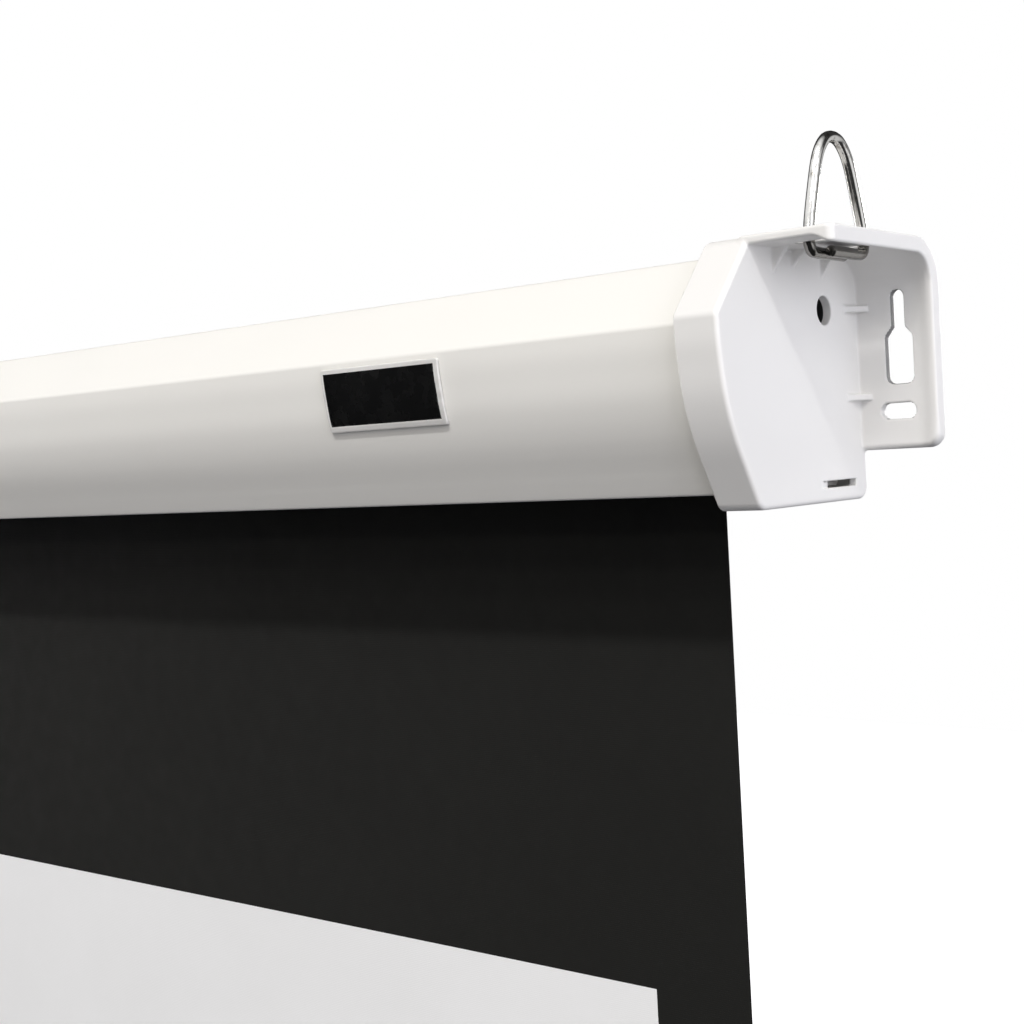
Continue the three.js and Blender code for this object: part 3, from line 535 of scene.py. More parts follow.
def spring_steel():
    k = Look("spring_steel", (0.2, 0.205, 0.215), 0.36, 1.0)
    k.tint(k.ramp(k.noise(90, 4), 0.5, 0.75, 0, 1), (0.12, 0.1, 0.085))
    k.polish(k.noise(300, 3), 0.28, 0.5)
    return k.bump(k.noise(1400, 3, stretch=(0.1, 1, 1)), 0.00004, 0.5).m


def aluminium():
    k = Look("tube_aluminium", (0.66, 0.67, 0.68), 0.32, 1.0)
    k.tint(k.ramp(k.noise(60, 4, stretch=(0.02, 1, 1)), 0.45, 0.7, 0, 1), (0.5, 0.51, 0.52))
    k.polish(k.noise(500, 3, stretch=(0.02, 1, 1)), 0.26, 0.42)
    return k.bump(k.noise(2200, 2, stretch=(0.01, 1, 1)), 0.00004, 0.5).m


def plastic(name, color, rough, grain=1800, depth=0.00005):
    k = Look(name, color, rough)
    k.tint(k.ramp(k.noise(70, 4), 0.45, 0.7, 0, 1), tuple(c * 1.35 + 0.004 for c in color))
    k.polish(k.noise(120, 4), rough - 0.07, rough + 0.09)
    return k.bump(k.noise(grain, 2), depth, 0.6).m


def bar_paint():
    k = Look("bar_paint", (0.014, 0.014, 0.015), 0.38, Coat_Weight=0.15, Coat_Roughness=0.3)
    k.edges((0.09, 0.088, 0.085), 0.53, 0.62)
    k.polish(k.noise(40, 4), 0.3, 0.48)
    return k.bump(k.noise(1100, 2), 0.00005, 0.6).m


def cloth(name, color, rough, other, deep=0.00006, **sockets):
    """Coated screen cloth: a fine woven backing that shows through the coat."""
    k = Look(name, color, rough, **sockets)
    k.tint(k.ramp(k.noise(14, 4), 0.4, 0.7, 0, 1), other)
    k.polish(k.noise(90, 4), rough - 0.06, rough + 0.06)
    weave = k.multiply(k.wave(430, "X", 0.4), k.wave(430, "Z", 0.4))
    k.bump(weave, deep, 0.5)
    k.bump(k.noise(1300, 3), deep * 0.8, 0.5)
    return k.bump(k.noise(3.2, 2), 0.002, 0.12).m


def badge_face():
    k = Look("badge_face", (0.003, 0.003, 0.0032), 0.24, Specular_IOR_Level=0.35)
    k.tint(k.ramp(k.noise(90, 4), 0.5, 0.8, 0, 1), (0.006, 0.006, 0.006))
    k.polish(k.noise(220, 3), 0.2, 0.32)
    return k.bump(k.noise(700, 2), 0.00003, 0.5).m


def badge_edge():
    k = Look("badge_edge", (0.72, 0.71, 0.69), 0.34)
    k.tint(k.ramp(k.noise(300, 3, stretch=(0.1, 1, 1)), 0.4, 0.7, 0, 1), (0.62, 0.61, 0.59))
    k.polish(k.noise(900, 2, stretch=(0.05, 1, 1)), 0.28, 0.42)
    return k.bump(k.noise(2600, 2, stretch=(0.05, 1, 1)), 0.00002, 0.5).m


def black_oxide():
    k = Look("black_oxide", (0.045, 0.043, 0.042), 0.42, 1.0)
    k.tint(k.ramp(k.noise(240, 4), 0.45, 0.7, 0, 1), (0.08, 0.075, 0.07))
    k.polish(k.noise(300, 3), 0.34, 0.52)
    return k.bump(k.noise(1600, 3), 0.00003, 0.5).m


M = {
    "cap": cap_plastic(), "case": case_paint(), "chrome": chrome(), "zinc": zinc(), "spring": spring_steel(),
    "alu": aluminium(), "nylon": plastic("nylon", (0.68, 0.67, 0.62), 0.45), "grey": plastic("grey_plastic", (0.07, 0.075, 0.08), 0.5),
    "bar": bar_paint(), "black": plastic("black_plastic", (0.012, 0.012, 0.012), 0.46), "rubber": plastic("rubber", (0.016, 0.016, 0.016), 0.72, 900, 0.0001),
    "white": cloth("screen_white", (0.87, 0.872, 0.872), 0.82, (0.85, 0.852, 0.85)),
    "border": cloth("screen_black", (0.0128, 0.0128, 0.0118), 0.8, (0.0142, 0.0142, 0.013), 0.00008, Specular_IOR_Level=0.12),
    "back": cloth("screen_back", (0.013, 0.013, 0.013), 0.8, (0.018, 0.018, 0.018), 0.00008, Specular_IOR_Level=0.2),
    "badge": badge_face(), "badge_edge": badge_edge(), "oxide": black_oxide(),
}

# --------------------------------------------------------------- end caps
BRACKET_X = 27.6                   # the bracket reaches this far past the end face
TOP = CAP[0][1]
CAP_IN = eased(3.0, (11.0, 4.0, 0.3, 1.4))
KEY = rounded([(12.1, -15, 2.15), (12.1, -26.6, 0.8), (9.7, -29.6, 0.8), (9.7, -44.5, 2.4),
               (19.0, -44.5, 2.4), (19.0, -29.6, 0.8), (16.5, -26.6, 0.8), (16.5, -15, 2.15)], 4)


def cap_section(y, z):
    d = sd_poly(y, z, CAP_IN) - 3.0
    return np.maximum(d, y)


def bend(y, z, t):
    """The corner of the bracket's L at depth t under its outer faces: below zero inside it."""
    y, z, r = y + t, z + t - TOP, 14.0 - t
    return np.where((y > -r) & (z > -r), np.hypot(y + r, z + r) - r, np.maximum(y, z))


def cap(x, y, z):
    d2 = cap_section(y, z)
    d = cross(cross(d2, x, 1.4), -15 - x, 0.5)
    d = smax(d, -np.maximum(d2 + 3.7, x + 3.0), 0.5)
    # bracket plates with a soft bead along their outer edge
    shell = bend(y, z, 0)
    inner = smin(-bend(y, z, 2.8), cross(-bend(y, z, 4.5), BRACKET_X - 3.2 - x, 2.4), 5.0)
    trim = cross(rect(x, z, -60, BRACKET_X, -65.0, 60, 5.0), rect(x, y, -4, BRACKET_X, -67.0, 60, 2.6), 0.5)
    ease = np.interp(z, (-62, -55), (2.0, 0.8))      # softer along the bottom
    plate = cross(cross(inner, trim, ease), shell, 0.8)
    for gz in (-20.0, -48.0):
        tri = sd_poly(x, y, [(-1, -11.2), (-1, -2.0), (4.4, -2.0), (4.4, -3.0), (0.2, -11.2)])
        plate = smin(plate, cross(tri, slab(z, gz - 1, gz + 1), 0.35), 0.5)
    for gy, low in ((-53.0, -10.5), (-41.5, -8.5), (-23.5, -10.5)):
        tri = sd_poly(x, z, [(-1, low), (0.2, low), (5.4, -3.4), (5.4, -2.0), (-1, -2.0)])
        plate = smin(plate, cross(tri, slab(y, gy - 0.8, gy + 0.8), 0.3), 0.5)
    d = np.maximum(smin(d, plate, 1.0), shell)
    # screw bosses; the rear one is a recess open to the outside
    for by, bz, r in ((-23.2, -20.8, 6.6), (-66, -36, 4), (-20, -60, 4)):
        d = smin(d, cross(disc(y, z, by, bz, r), slab(x, -9, -1), 0.4), 0.5)
    d = smax(d, -cross(disc(y, z, -23.2, -20.8, 4.5), slab(x, -7.4, 6), 0.2), 0.5)
    for by, bz, x0, x1, r in ((-23.2, -20.8, -12, 1, 1.8), (-66, -36, -12, -3.6, 1.75), (-20, -60, -12, -3.6, 1.75)):
        d = smax(d, -np.maximum(disc(y, z, by, bz, r), slab(x, x0, x1)), 0.3)
    # latch slot with a shallow ramp in front of it
    d = smax(d, -cross(rect(y, z, -23.8, -7.6, -75.8, -73.6, 0.4), slab(x, -6, 3), 0.01), 0.3)
    d = smax(d, -np.maximum(rect(y, z, -30.0, -23.0, -75.8, -73.6, 0.3), -(x + (y + 30.0) * 0.25)), 0.3)
    # keyhole, lower slot and the slots for the ring's legs
    key = sd_poly(x, z, KEY)
    d = smax(d, -np.maximum(key, slab(y, -8, 4)), 0.35)
    d = smax(d, -np.maximum(rect(x, z, 7.4, 19.2, -55.5, -50.5, 2.4), slab(y, -8, 4)), 0.35)
    for s in (-1, 1):
        yc = HY + s * 13
        d = smax(d, -np.maximum(rect(x, y, HX - 6, HX + 6, yc - 2.5, yc + 2.5, 2.2), slab(z, -8, 4)), 0.4)
    # countersunk hole in the back of the skirt
    d = smax(d, -cross(disc(x, z, -8, -41, 3.6), slab(y, -2.4, 4), 0.1), 0.4)
    return smax(d, -np.maximum(disc(x, z, -8, -41, 1.75), slab(y, -8, 4)), 0.3)


P, Q, N = nets(cap, (-15.8, -86.2, -81.2), (28.6, 0.9, 0.5), 0.6)
netted("cap_shell_right", P, Q, N, "case", M["cap"], ["end_cap_right"], (HALF, 0, 0))
netted("cap_shell_left", P, Q, N, "case", M["cap"], ["end_cap_left"], (-HALF, 0, 0), True)

# -------------------------------------------------------------------- case
CASE = CAP[:-2] + [(-65.74, -80.0), (0, -80.0)]
CASE_OUT = swollen(eased(4.5 + 1.1, (8.9, 2.0, 1.2, 0.2), 6, CASE), 1.1, 10)
CASE_INN = swollen(eased(4.5 + 1.4 + 0.6, (8.0, 1.4, 0.6, 0.6), 4, CASE), 0.6, 15)
FLOOR = CASE[-1][1] + 4.5


def opened(loop, y_front, y_back, z):
    """A closed loop cut open across the fabric slot in its floor, from the back edge of the slot round to the front edge."""
    n = len(loop)
    at = next(i for i in range(n) if abs(loop[i][1] - z) < 1e-3 and abs(loop[(i + 1) % n][1] - z) < 1e-3
              and loop[i][0] < y_front and loop[(i + 1) % n][0] > y_back)
    turned = [loop[(at + 1 + i) % n] for i in range(n)]
    return [(y_back, z)] + turned + [(y_front, z)]


outer = opened(CASE_OUT, -30.0, -16.0, FLOOR)
inner = opened(CASE_INN, -31.5, -14.5, FLOOR + 1.4)
section = outer + [(-30.0, -71.0), (-30.5, -70.5), (-31.0, -70.5), (-31.5, -71.0)] + inner[::-1] + [(-14.5, -71.0), (-15.0, -70.5), (-15.5, -70.5), (-16.0, -71.0)]
prism("case_shell", section, np.linspace(-999.0, 999.0, 9), "case", [M["case"]], ["housing_case"], 28)

# ------------------------------------------------------------------- badge
face = [p for p in CASE_OUT if p[0] < -60 and -60 < p[1] < -20]
face.sort(key=lambda p: -p[1])
fz, fy = np.array([p[1] for p in face])[::-1], np.array([p[0] for p in face])[::-1]


def badge():
    x0, x1, z0, z1, corner = HALF - 165.3, HALF - 110.0, -48.6, -26.8, 1.0
    el, er, eb, et = 1.5, 1.9, 2.2, 1.6          # widths of the border
    us = np.unique(np.concatenate([np.linspace(x0, x1, 61), [x0 + .25, x0 + .5, x0 + el, x0 + el + .2, x1 - .25, x1 - .5, x1 - er, x1 - er - .2]]))
    vs = np.unique(np.concatenate([np.linspace(z0, z1, 27), [z0 + .25, z0 + .5, z0 + eb, z0 + eb + .2, z1 - .25, z1 - .5, z1 - et, z1 - et - .2]]))
    verts, faces, kinds = [], [], []

    def place(u, v, h):
        y = np.interp(v, fz, fy)
        dy = (np.interp(v + .5, fz, fy) - np.interp(v - .5, fz, fy))
        n = np.array([-1.0, dy])
        n /= np.linalg.norm(n)
        return (u / 1000, (y + n[0] * h) / 1000, (v + n[1] * h) / 1000)

    def rim(u, v):
        return min(u - x0, x1 - u, v - z0, z1 - v)

    def within(u, v, more=0.0):
        return min(u - x0 - el, x1 - er - u, v - z0 - eb, z1 - et - v) > more
    for v in vs:
        for u in us:
            cu, cv = np.clip(u, x0 + corner, x1 - corner), np.clip(v, z0 + corner, z1 - corner)
            du, dv = u - cu, v - cv
            if du and dv:
                k = max(abs(du), abs(dv)) / math.hypot(du, dv)
                pu, pv = cu + du * k, cv + dv * k
            else:
                pu, pv = u, v
            m = rim(u, v)
            h = 0.65 + 0.45 * math.sqrt(max(0, 1 - (1 - min(m / 0.5, 1)) ** 2))
            if within(u, v, 0.1):
                h = 0.95
            verts.append(place(pu, pv, h))
    nu, nv = len(us), len(vs)
    for j in range(nv - 1):
        for i in range(nu - 1):
            faces.append((j * nu + i, j * nu + i + 1, (j + 1) * nu + i + 1, (j + 1) * nu + i))
            kinds.append(0 if within((us[i] + us[i + 1]) / 2, (vs[j] + vs[j + 1]) / 2) else 1)
    loop = [j for j in range(nu)] + [j * nu + nu - 1 for j in range(1, nv)] + \
           [(nv - 1) * nu + i for i in range(nu - 2, -1, -1)] + [j * nu for j in range(nv - 2, 0, -1)]
    base = len(verts)
    for k in loop:
        u, v = verts[k][0] * 1000, verts[k][2] * 1000
        verts.append(place(u, np.clip(v, z0, z1), 0.3))
    n = len(loop)
    for i in range(n):
        faces.append((loop[i], base + i, base + (i + 1) % n, loop[(i + 1) % n]))
        kinds.append(1)
    faces.append(tuple(base + i for i in range(n)))
    kinds.append(1)
    me = bpy.data.meshes.new("badge_plate")
    me.from_pydata(verts, [], faces)
    me.polygons.foreach_set("material_index", kinds)
    bm = bmesh.new()
    bm.from_mesh(me)
    bmesh.ops.recalc_face_normals(bm, faces=bm.faces)
    bm.to_mesh(me)
    bm.free()
    smooth(me, 40)
    return link("badge_plate", me, "case", [M["badge"], M["badge_edge"]], ["label_plate"])


badge()

# ----------------------------------------------------------- hanging rings
def ring_line(sx):
    b = -6.0
    leg = [(1.7, 12.5, 3), (1.2, 10.55, 12.5), (0.8, 7.9, 21.5), (0.5, 5.9, 25.1), (0.25, 3.3, 27.5)]
    foot = [(1.95, 0, b), (1.95, 8.7, b), (1.95, 11.8, b + .45), (1.9, 13.1, b + 2.6), (1.85, 13.05, b + 4.8)]
    pts = [(1.95, -7.5, b)] + foot + leg + [(0, 0, 28.3)] + [(-x, -s, z) for x, s, z in reversed(leg)]
    pts += [(-x, -s, z) for x, s, z in reversed(foot)] + [(-1.95, 7.5, b)]
    line = spline(pts, 14)
    return np.stack([sx * (HALF + HX + line[:, 0]), HY + line[:, 1], line[:, 2]], 1)


tube("ring_right", ring_line(1), 1.75, 20, "ring_right", M["chrome"], ["hanging_ring_right"])
tube("ring_left", ring_line(-1), 1.75, 20, "ring_left", M["chrome"], ["hanging_ring_left"])

# ------------------------------------------------------------------ fabric
FAB_X, WHITE_X = 968.0, 930.0
FAB_TOP, FAB_END, WHITE_TOP, WHITE_END = -41.0, -1337.6, -247.0, -1293.0


def ripple(x, z):
    """How far the hanging cloth stands off its plane, mm: long soft waves that die out at the roller and the bar."""
    t = (FAB_TOP - z) / (FAB_TOP - FAB_END)
    hold = math.sin(math.pi * min(max((t - 0.04) / 0.96, 0), 1)) ** 0.8
    edge = (abs(x) / FAB_X) ** 6
    return hold * (0.7 * math.cos(x / 210 + 0.7) + 0.5 * math.sin(x / 95 + z / 640) - 1.6 * edge)


def fabric():
    xs = np.unique(np.concatenate([np.linspace(-FAB_X, FAB_X, 121), [-WHITE_X, WHITE_X]]))
    zs = np.unique(np.concatenate([np.linspace(FAB_END, FAB_TOP, 91), [WHITE_TOP, WHITE_END]]))
    nx, nz = len(xs), len(zs)
    verts, faces, kinds = [], [], []
    for off in (-0.2, 0.2):
        for z in zs:
            for x in xs:
                verts.append((x / 1000, (FABRIC_Y + ripple(x, z) + off) / 1000, z / 1000))
    front, back = 0, nx * nz
    for j in range(nz - 1):
        for i in range(nx - 1):
            a, b, c, d = j * nx + i, j * nx + i + 1, (j + 1) * nx + i + 1, (j + 1) * nx + i
            faces.append((a, b, c, d))
            mx, mz = (xs[i] + xs[i + 1]) / 2, (zs[j] + zs[j + 1]) / 2
            kinds.append(1 if abs(mx) < WHITE_X and WHITE_END < mz < WHITE_TOP else 0)
            faces.append((back + d, back + c, back + b, back + a))
            kinds.append(2)
    loop = list(range(nx)) + [j * nx + nx - 1 for j in range(1, nz)] + [(nz - 1) * nx + i for i in range(nx - 2, -1, -1)] + [j * nx for j in range(nz - 2, 0, -1)]
    for i, a in enumerate(loop):
        b = loop[(i + 1) % len(loop)]
        faces.append((b, a, back + a, back + b))
        kinds.append(0)
    me = bpy.data.meshes.new("screen_cloth")
    me.from_pydata(verts, [], faces)
    me.polygons.foreach_set("material_index", kinds)
    smooth(me, 40)
    return link("screen_cloth", me, "drop", [M["border"], M["white"], M["back"]], ["screen_fabric"])


cloth_piece = fabric()
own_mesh(cloth_piece)

# turns of cloth left on the tube
turns = []
for k in range(0, 2 * 72 + 40):
    a = math.radians(5 * k)
    r = 18.45 + 0.36 * k / 72
    turns.append((AXIS[0] + r * math.cos(a), AXIS[1] - r * math.sin(a)))
turns = turns[::-1]
roll = prism("fabric_roll_turns", ribbon(turns, 0.3), [-FAB_X, -500, 0, 500, FAB_X], "roller", [M["back"]], ["fabric_roll"], 40)

# the hem: the cloth's bottom edge sewn round a rod inside the bar
HEM_Z = BAR_TOP - 6.2
hem = [(FABRIC_Y - 0.26, BAR_TOP - 0.2), (FABRIC_Y - 0.26, HEM_Z + 3.2)]
hem += [(FABRIC_Y + 2.2 * math.cos(math.radians(a)), HEM_Z + 2.2 * math.sin(math.radians(a))) for a in range(102, 439, 12)]
hem += [(FABRIC_Y + 0.26, HEM_Z + 3.2), (FABRIC_Y + 0.26, BAR_TOP - 0.2)]
hem_piece = prism("hem_pocket", ribbon(hem, 0.36), [-FAB_X, -500, 0, 500, FAB_X], "drop", [M["back"]], ["fabric_hem"], 40)

# -------------------------------------------------------------- weight bar
def bar_loop(grow, step=9):
    y0, y1 = FABRIC_Y - 11 - grow, FABRIC_Y + 11 + grow
    return rounded([(y1, BAR_TOP + grow, 7 + grow), (y0, BAR_TOP + grow, 7 + grow), (y0, BAR_BOTTOM - grow, 9 + grow), (y1, BAR_BOTTOM - grow, 9 + grow)], step)


def bar_section():
    out, inn = bar_loop(0), bar_loop(-1.5)
    cut = lambda loop, z: (lambda i: [(FABRIC_Y - 0.9, z)] + [loop[(i + 1 + k) % len(loop)] for k in range(len(loop))] + [(FABRIC_Y + 0.9, z)])(
        next(i for i in range(len(loop)) if loop[i][0] > FABRIC_Y + 0.9 and loop[(i + 1) % len(loop)][0] < FABRIC_Y - 0.9 and abs(loop[i][1] - z) < 1e-3))
    return cut(out, BAR_TOP) + cut(inn, BAR_TOP - 1.5)[::-1]


ends = np.array([0, 1.2, 3, 8])
prism("weight_bar_case", bar_section(), np.concatenate([ends - BAR_X, np.linspace(-900, 900, 9), BAR_X - ends[::-1]]), "drop", [M["bar"]], ["weight_bar"], 30)


def bar2(y, z, grow):
    s = rounded([(FABRIC_Y + 11, BAR_TOP, 7), (FABRIC_Y - 11, BAR_TOP, 7), (FABRIC_Y - 11, BAR_BOTTOM, 9), (FABRIC_Y + 11, BAR_BOTTOM, 9)], 5)
    return sd_poly(y, z, s) - grow


def bar_cap(x, y, z):
    d2 = bar2(y, z, 0)
    d = smin(cross(d2, slab(x, 0.3, 3.6), 1.3), cross(d2 + 1.8, slab(x, -12, 1.5), 0.5), 0.4)
    d = smax(d, -cross(d2 + 3.4, slab(x, -14, -1), 0.3), 0.3)
    return smax(d, -np.maximum(rect(y, z, FABRIC_Y - 4, FABRIC_Y + 4, BAR_TOP - 8, BAR_TOP + 3), slab(x, -14, -0.5)), 0.3)


def bumper(x, y, z):
    d = cross(rect(y, z, FABRIC_Y - 9, FABRIC_Y + 9, BAR_TOP + 0.3, BAR_TOP + 5, 1.2), slab(x, -14, -3), 1.0)
    return smin(d, cross(rect(y, z, FABRIC_Y - 0.55, FABRIC_Y + 0.55, BAR_TOP - 2.2, BAR_TOP + 1, 0.2), slab(x, -13, -4), 0.2), 0.4)


SADDLE = BAR_BOTTOM - 0.3


def saddle(x, y, z):
    d = cross(rect(x, y, -44, 44, FABRIC_Y - 9, FABRIC_Y + 9, 4), slab(z, SADDLE - 4, SADDLE), 0.8)
    for s in (-1, 1):
        lug = cross(rect(y, z, FABRIC_Y - 5.5, FABRIC_Y + 5.5, PIVOT_Z - 5.5, SADDLE - 1, 4.5), slab(x, s * 34 - 3, s * 34 + 3), 0.7)
        lug = np.where(z > PIVOT_Z, cross(slab(y, FABRIC_Y - 5.5, FABRIC_Y + 5.5), cross(slab(x, s * 34 - 3, s * 34 + 3), slab(z, PIVOT_Z - 20, SADDLE - 1), 0.01), 0.7), lug)
        d = smin(d, lug, 1.4)
    for s in (-1, 1):
        d = smax(d, -np.maximum(disc(y, z, FABRIC_Y, PIVOT_Z, 2.9), slab(x, s * 34 - 6, s * 34 + 6)), 0.4)
        d = smax(d, -disc(x, y, s * 18, FABRIC_Y, 1.75), 0.3)
        d = smax(d, -np.maximum(disc(x, y, s * 18, FABRIC_Y, 3.5), z - (SADDLE - 2)), 0.4)
    return d


step = 0.5
P, Q, N = nets(bar_cap, (-12.9, FABRIC_Y - 12, BAR_BOTTOM - 1), (4.5, FABRIC_Y + 12, BAR_TOP + 1), step)
netted("bar_end_right", P, Q, N, "drop", M["black"], ["weight_bar_cap_right"], (BAR_X, 0, 0))
netted("bar_end_left", P, Q, N, "drop", M["black"], ["weight_bar_cap_left"], (-BAR_X, 0, 0), True)
P, Q, N = nets(bumper, (-15, FABRIC_Y - 10, BAR_TOP - 3), (-2, FABRIC_Y + 10, BAR_TOP + 6), step)
netted("bumper_right", P, Q, N, "drop", M["rubber"], ["stop_bumper_right"], (BAR_X, 0, 0))
netted("bumper_left", P, Q, N, "drop", M["rubber"], ["stop_bumper_left"], (-BAR_X, 0, 0), True)
P, Q, N = nets(saddle, (-45.2, FABRIC_Y - 10, PIVOT_Z - 6.5), (45.2, FABRIC_Y + 10, SADDLE + 1), step)
netted("handle_saddle", P, Q, N, "drop", M["black"], ["handle_base"])

bail = [(30.5, 0), (36, 0), (40, -.4), (43.3, -2.6), (44.6, -7), (44.4, -18), (42.6, -28), (38, -34.4), (30, -37.6), (15, -38.6), (0, -38.8)]
bail = spline([(x, FABRIC_Y, PIVOT_Z + z) for x, z in bail] + [(-x, FABRIC_Y, PIVOT_Z + z) for x, z in bail[-2::-1]], 8)
tube("pull_bail", bail, 2.5, 18, "handle", M["black"], ["pull_handle"], 0.4)


# --------------------------------------------- the nodes kept as they are
def dress(node, mat, angle=30, bevel=0.0):
    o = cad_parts[node]
    me = o.data
    me.materials.clear()
    me.materials.append(mat)
    if me.has_custom_normals:
        me.attributes.remove(me.attributes["custom_normal"])
    me.polygons.foreach_set("use_smooth", [True] * len(me.polygons))
    w = o.modifiers.new("weld", "WELD")
    w.merge_threshold = 1e-6
    if bevel:
        b = o.modifiers.new("bevel", "BEVEL")
        b.width, b.segments, b.limit_method, b.angle_limit = bevel, 2, "ANGLE", math.radians(50)
        b.harden_normals = False
    e = o.modifiers.new("split", "EDGE_SPLIT")
    e.split_angle = math.radians(angle)
    e.use_edge_sharp = False


for n, mat, bevel in [
    ("roller_bracket_right", "zinc", 0.00025), ("roller_bracket_left", "zinc", 0.00025),
    ("cap_screw_right", "oxide", 0), ("cap_screw_left", "oxide", 0), ("case_screw_right", "zinc", 0), ("case_screw_left", "zinc", 0),
    ("bracket_screw_front_right", "zinc", 0), ("bracket_screw_front_left", "zinc", 0),
    ("bracket_screw_rear_right", "zinc", 0), ("bracket_screw_rear_left", "zinc", 0),
    ("handle_screw_right", "zinc", 0), ("handle_screw_left", "zinc", 0),
    ("roller_tube", "alu", 0), ("fabric_spline", "black", 0), ("hem_rod", "zinc", 0), ("weight_rod", "spring", 0),
    ("spring_rod", "spring", 0), ("torsion_spring", "spring", 0), ("lock_ratchet", "zinc", 0.0002),
    ("lock_pawl_upper", "zinc", 0.0002), ("lock_pawl_lower", "zinc", 0.0002), ("pawl_pin_upper", "zinc", 0), ("pawl_pin_lower", "zinc", 0),
    ("idler_pin", "zinc", 0), ("spring_anchor", "grey", 0.0002), ("spring_driver", "grey", 0.0002), ("pawl_carrier", "grey", 0.0002),
    ("idler_plug", "grey", 0.0002), ("idler_bush", "nylon", 0.0002),
]:
    dress(n, M[mat], bevel=bevel)

# ------------------------------------------------------------ floor, light
me = bpy.data.meshes.new("floor")
me.from_pydata([(-9, -9, -1.95), (9, -9, -1.95), (9, 9, -1.95), (-9, 9, -1.95)], [], [(0, 1, 2, 3)])
floor = bpy.data.objects.new("floor", me)
bpy.context.scene.collection.objects.link(floor)
k = Look("floor", (0.9, 0.9, 0.9), 0.6)
k.b.inputs["Emission Color"].default_value = (1, 1, 1, 1)
k.b.inputs["Emission Strength"].default_value = 1.0
me.materials.append(k.m)
floor.visible_diffuse = floor.visible_glossy = False


def lamp(name, kind, energy, tint, **props):
    light = bpy.data.lights.new(name, kind)
    light.energy, light.color = energy, tint
    for k, v in props.items():
        setattr(light, k, v)
    o = bpy.data.objects.new(name, light)
    bpy.context.scene.collection.objects.link(o)
    o.visible_camera = False
    return o


def strip(name, x0, x1, y, z, energy, tint=(1, 0.99, 0.982)):
    """A long soft box along X, turned towards the case."""
    o = lamp(name, "AREA", energy, tint, shape="RECTANGLE", size=x1 - x0, size_y=0.35)
    ez = Vector((0, y + .05, z + .05)).normalized()
    ex = Vector((1, 0, 0))
    ey = ez.cross(ex)
    o.matrix_world = Matrix(((ex.x, ey.x, ez.x, (x0 + x1) / 2), (ex.y, ey.y, ez.y, y), (ex.z, ey.z, ez.z, z), (0, 0, 0, 1)))


def sun(name, travel, energy, degrees, tint=(1, 1, 1)):
    o = lamp(name, "SUN", energy, tint, angle=math.radians(degrees))
    o.rotation_euler = Vector(travel).to_track_quat("-Z", "Y").to_euler()


strip("strip_main", 0, 3.5, -4.05, 5, 262)
strip("strip_right", 5.2, 6.95, -4.05, 5, 60)
strip("strip_near_right", 1, 5.95, -3.3, 5, 33)
WARM = (1, 0.955, 0.89)
strip("strip_low", 1.5, 4, -6.2, 4, 50, WARM)
strip("strip_low_right", 4, 6.5, -6.2, 4, 10, WARM)
strip("strip_mid", 0, 4, -6.5, 2.2, 50, WARM)
strip("strip_front", -1, 4, -5.2, 4.6, 38, WARM)
sun("side_right", (-1, 0.35, -0.35), 0.29, 25, (0.893, 0.913, 1.0))
sun("side_left", (1, 0, 0), 1.7, 12)       # only the left end faces it
sun("from_wall", (0, -1, -0.12), 1.1, 12)    # only the back faces it

world = bpy.data.worlds.new("studio")
bpy.context.scene.world = world
world.use_nodes = True
nt = world.node_tree
nt.nodes.clear()
co = nt.nodes.new("ShaderNodeTexCoord").outputs["Generated"]
path = nt.nodes.new("ShaderNodeLightPath")


def math_node(op, a, b):
    n = nt.nodes.new("ShaderNodeMath")
    n.operation = op
    for i, v in enumerate((a, b)):
        if isinstance(v, (int, float)):
            n.inputs[i].default_value = v
        else:
            nt.links.new(v, n.inputs[i])
    return n.outputs[0]


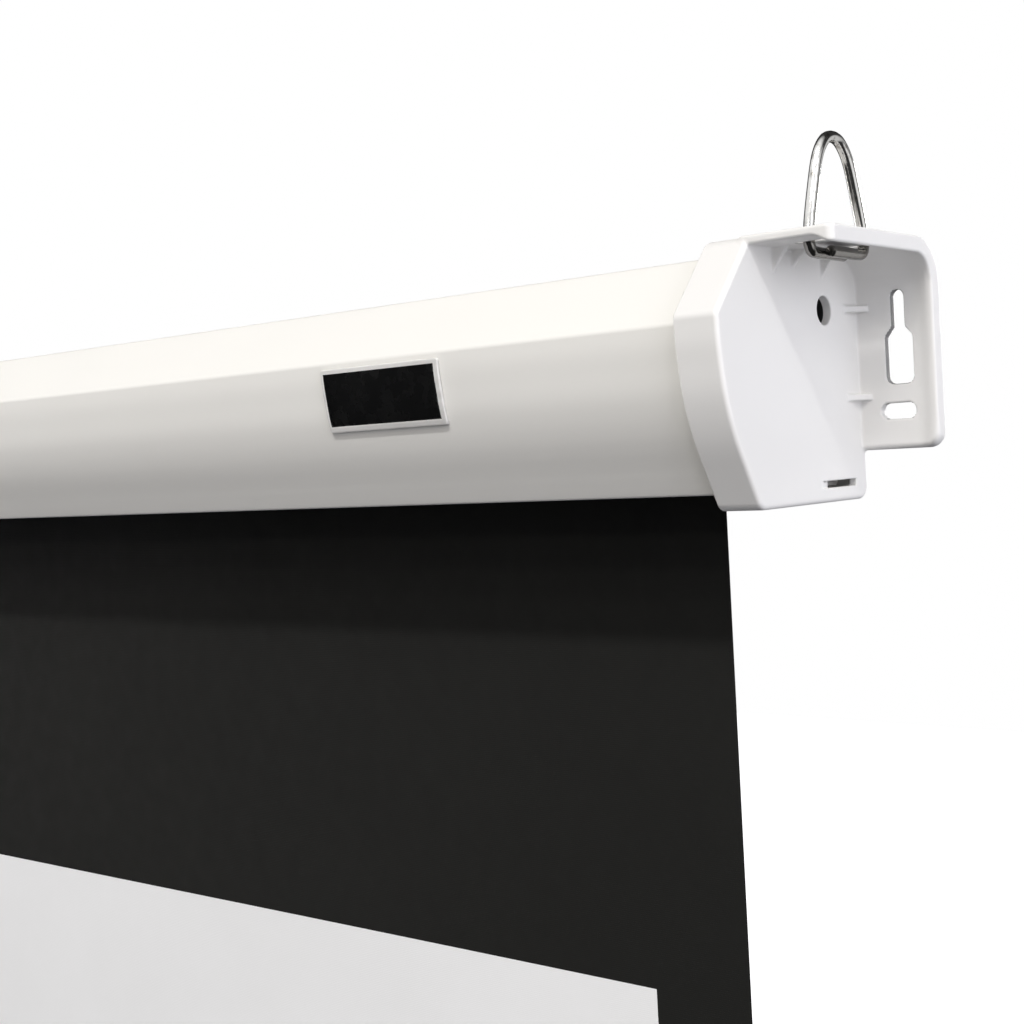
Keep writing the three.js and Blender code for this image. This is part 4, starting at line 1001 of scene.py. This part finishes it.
def towards(axis):
    n = nt.nodes.new("ShaderNodeVectorMath")
    n.operation = "DOT_PRODUCT"
    nt.links.new(co, n.inputs[0])
    n.inputs[1].default_value = Vector(axis).normalized()
    return n.outputs["Value"]


def lobe(axis, power, weight):
    return math_node("MULTIPLY", math_node("POWER", math_node("MAXIMUM", towards(axis), 0.0), power), weight)


def step_up(value, low, high, top):
    n = nt.nodes.new("ShaderNodeMapRange")
    n.interpolation_type = "SMOOTHSTEP"
    nt.links.new(value, n.inputs["Value"])
    n.inputs["From Min"].default_value, n.inputs["From Max"].default_value = low, high
    n.inputs["To Min"].default_value, n.inputs["To Max"].default_value = 0, top
    return n.outputs["Result"]


def backdrop(strength, color=(1, 1, 1)):
    n = nt.nodes.new("ShaderNodeBackground")
    n.inputs["Color"].default_value = (*color, 1)
    if isinstance(strength, (int, float)):
        n.inputs["Strength"].default_value = strength
    else:
        nt.links.new(strength, n.inputs["Strength"])
    return n.outputs[0]


def pick(fac, a, b):
    n = nt.nodes.new("ShaderNodeMixShader")
    nt.links.new(fac, n.inputs["Fac"])
    nt.links.new(a, n.inputs[1])
    nt.links.new(b, n.inputs[2])
    return n.outputs[0]


fill = math_node("ADD", lobe((1, 0, 0), 3, 1.69), lobe((1, -1, 0), 3, 0.288))
fill = math_node("ADD", fill, lobe((1, 0, -1), 3, 0.127))
# what polished surfaces see: a bright soft box above the front, dark below and behind, two small lights at the right
seen =math_node("MULTIPLY", step_up(towards((0, 0, 1)), 0.15, 0.45, 1.15), step_up(towards((0, -1, 0)), -0.2, 0.3, 1.0))
seen = math_node("ADD", math_node("ADD", seen, 0.04), step_up(towards((0.42, 0.88, -0.26)), 0.8, 0.95, 0.7))
seen = math_node("ADD", seen, step_up(towards((0.98, 0.05, 0)), 0.85, 0.95, 1.0))
surface = pick(path.outputs["Is Glossy Ray"], backdrop(fill, (0.925, 0.93, 1.0)), backdrop(seen))
surface = pick(path.outputs["Is Camera Ray"], surface, backdrop(1.0))
nt.links.new(surface, nt.nodes.new("ShaderNodeOutputWorld").inputs["Surface"])
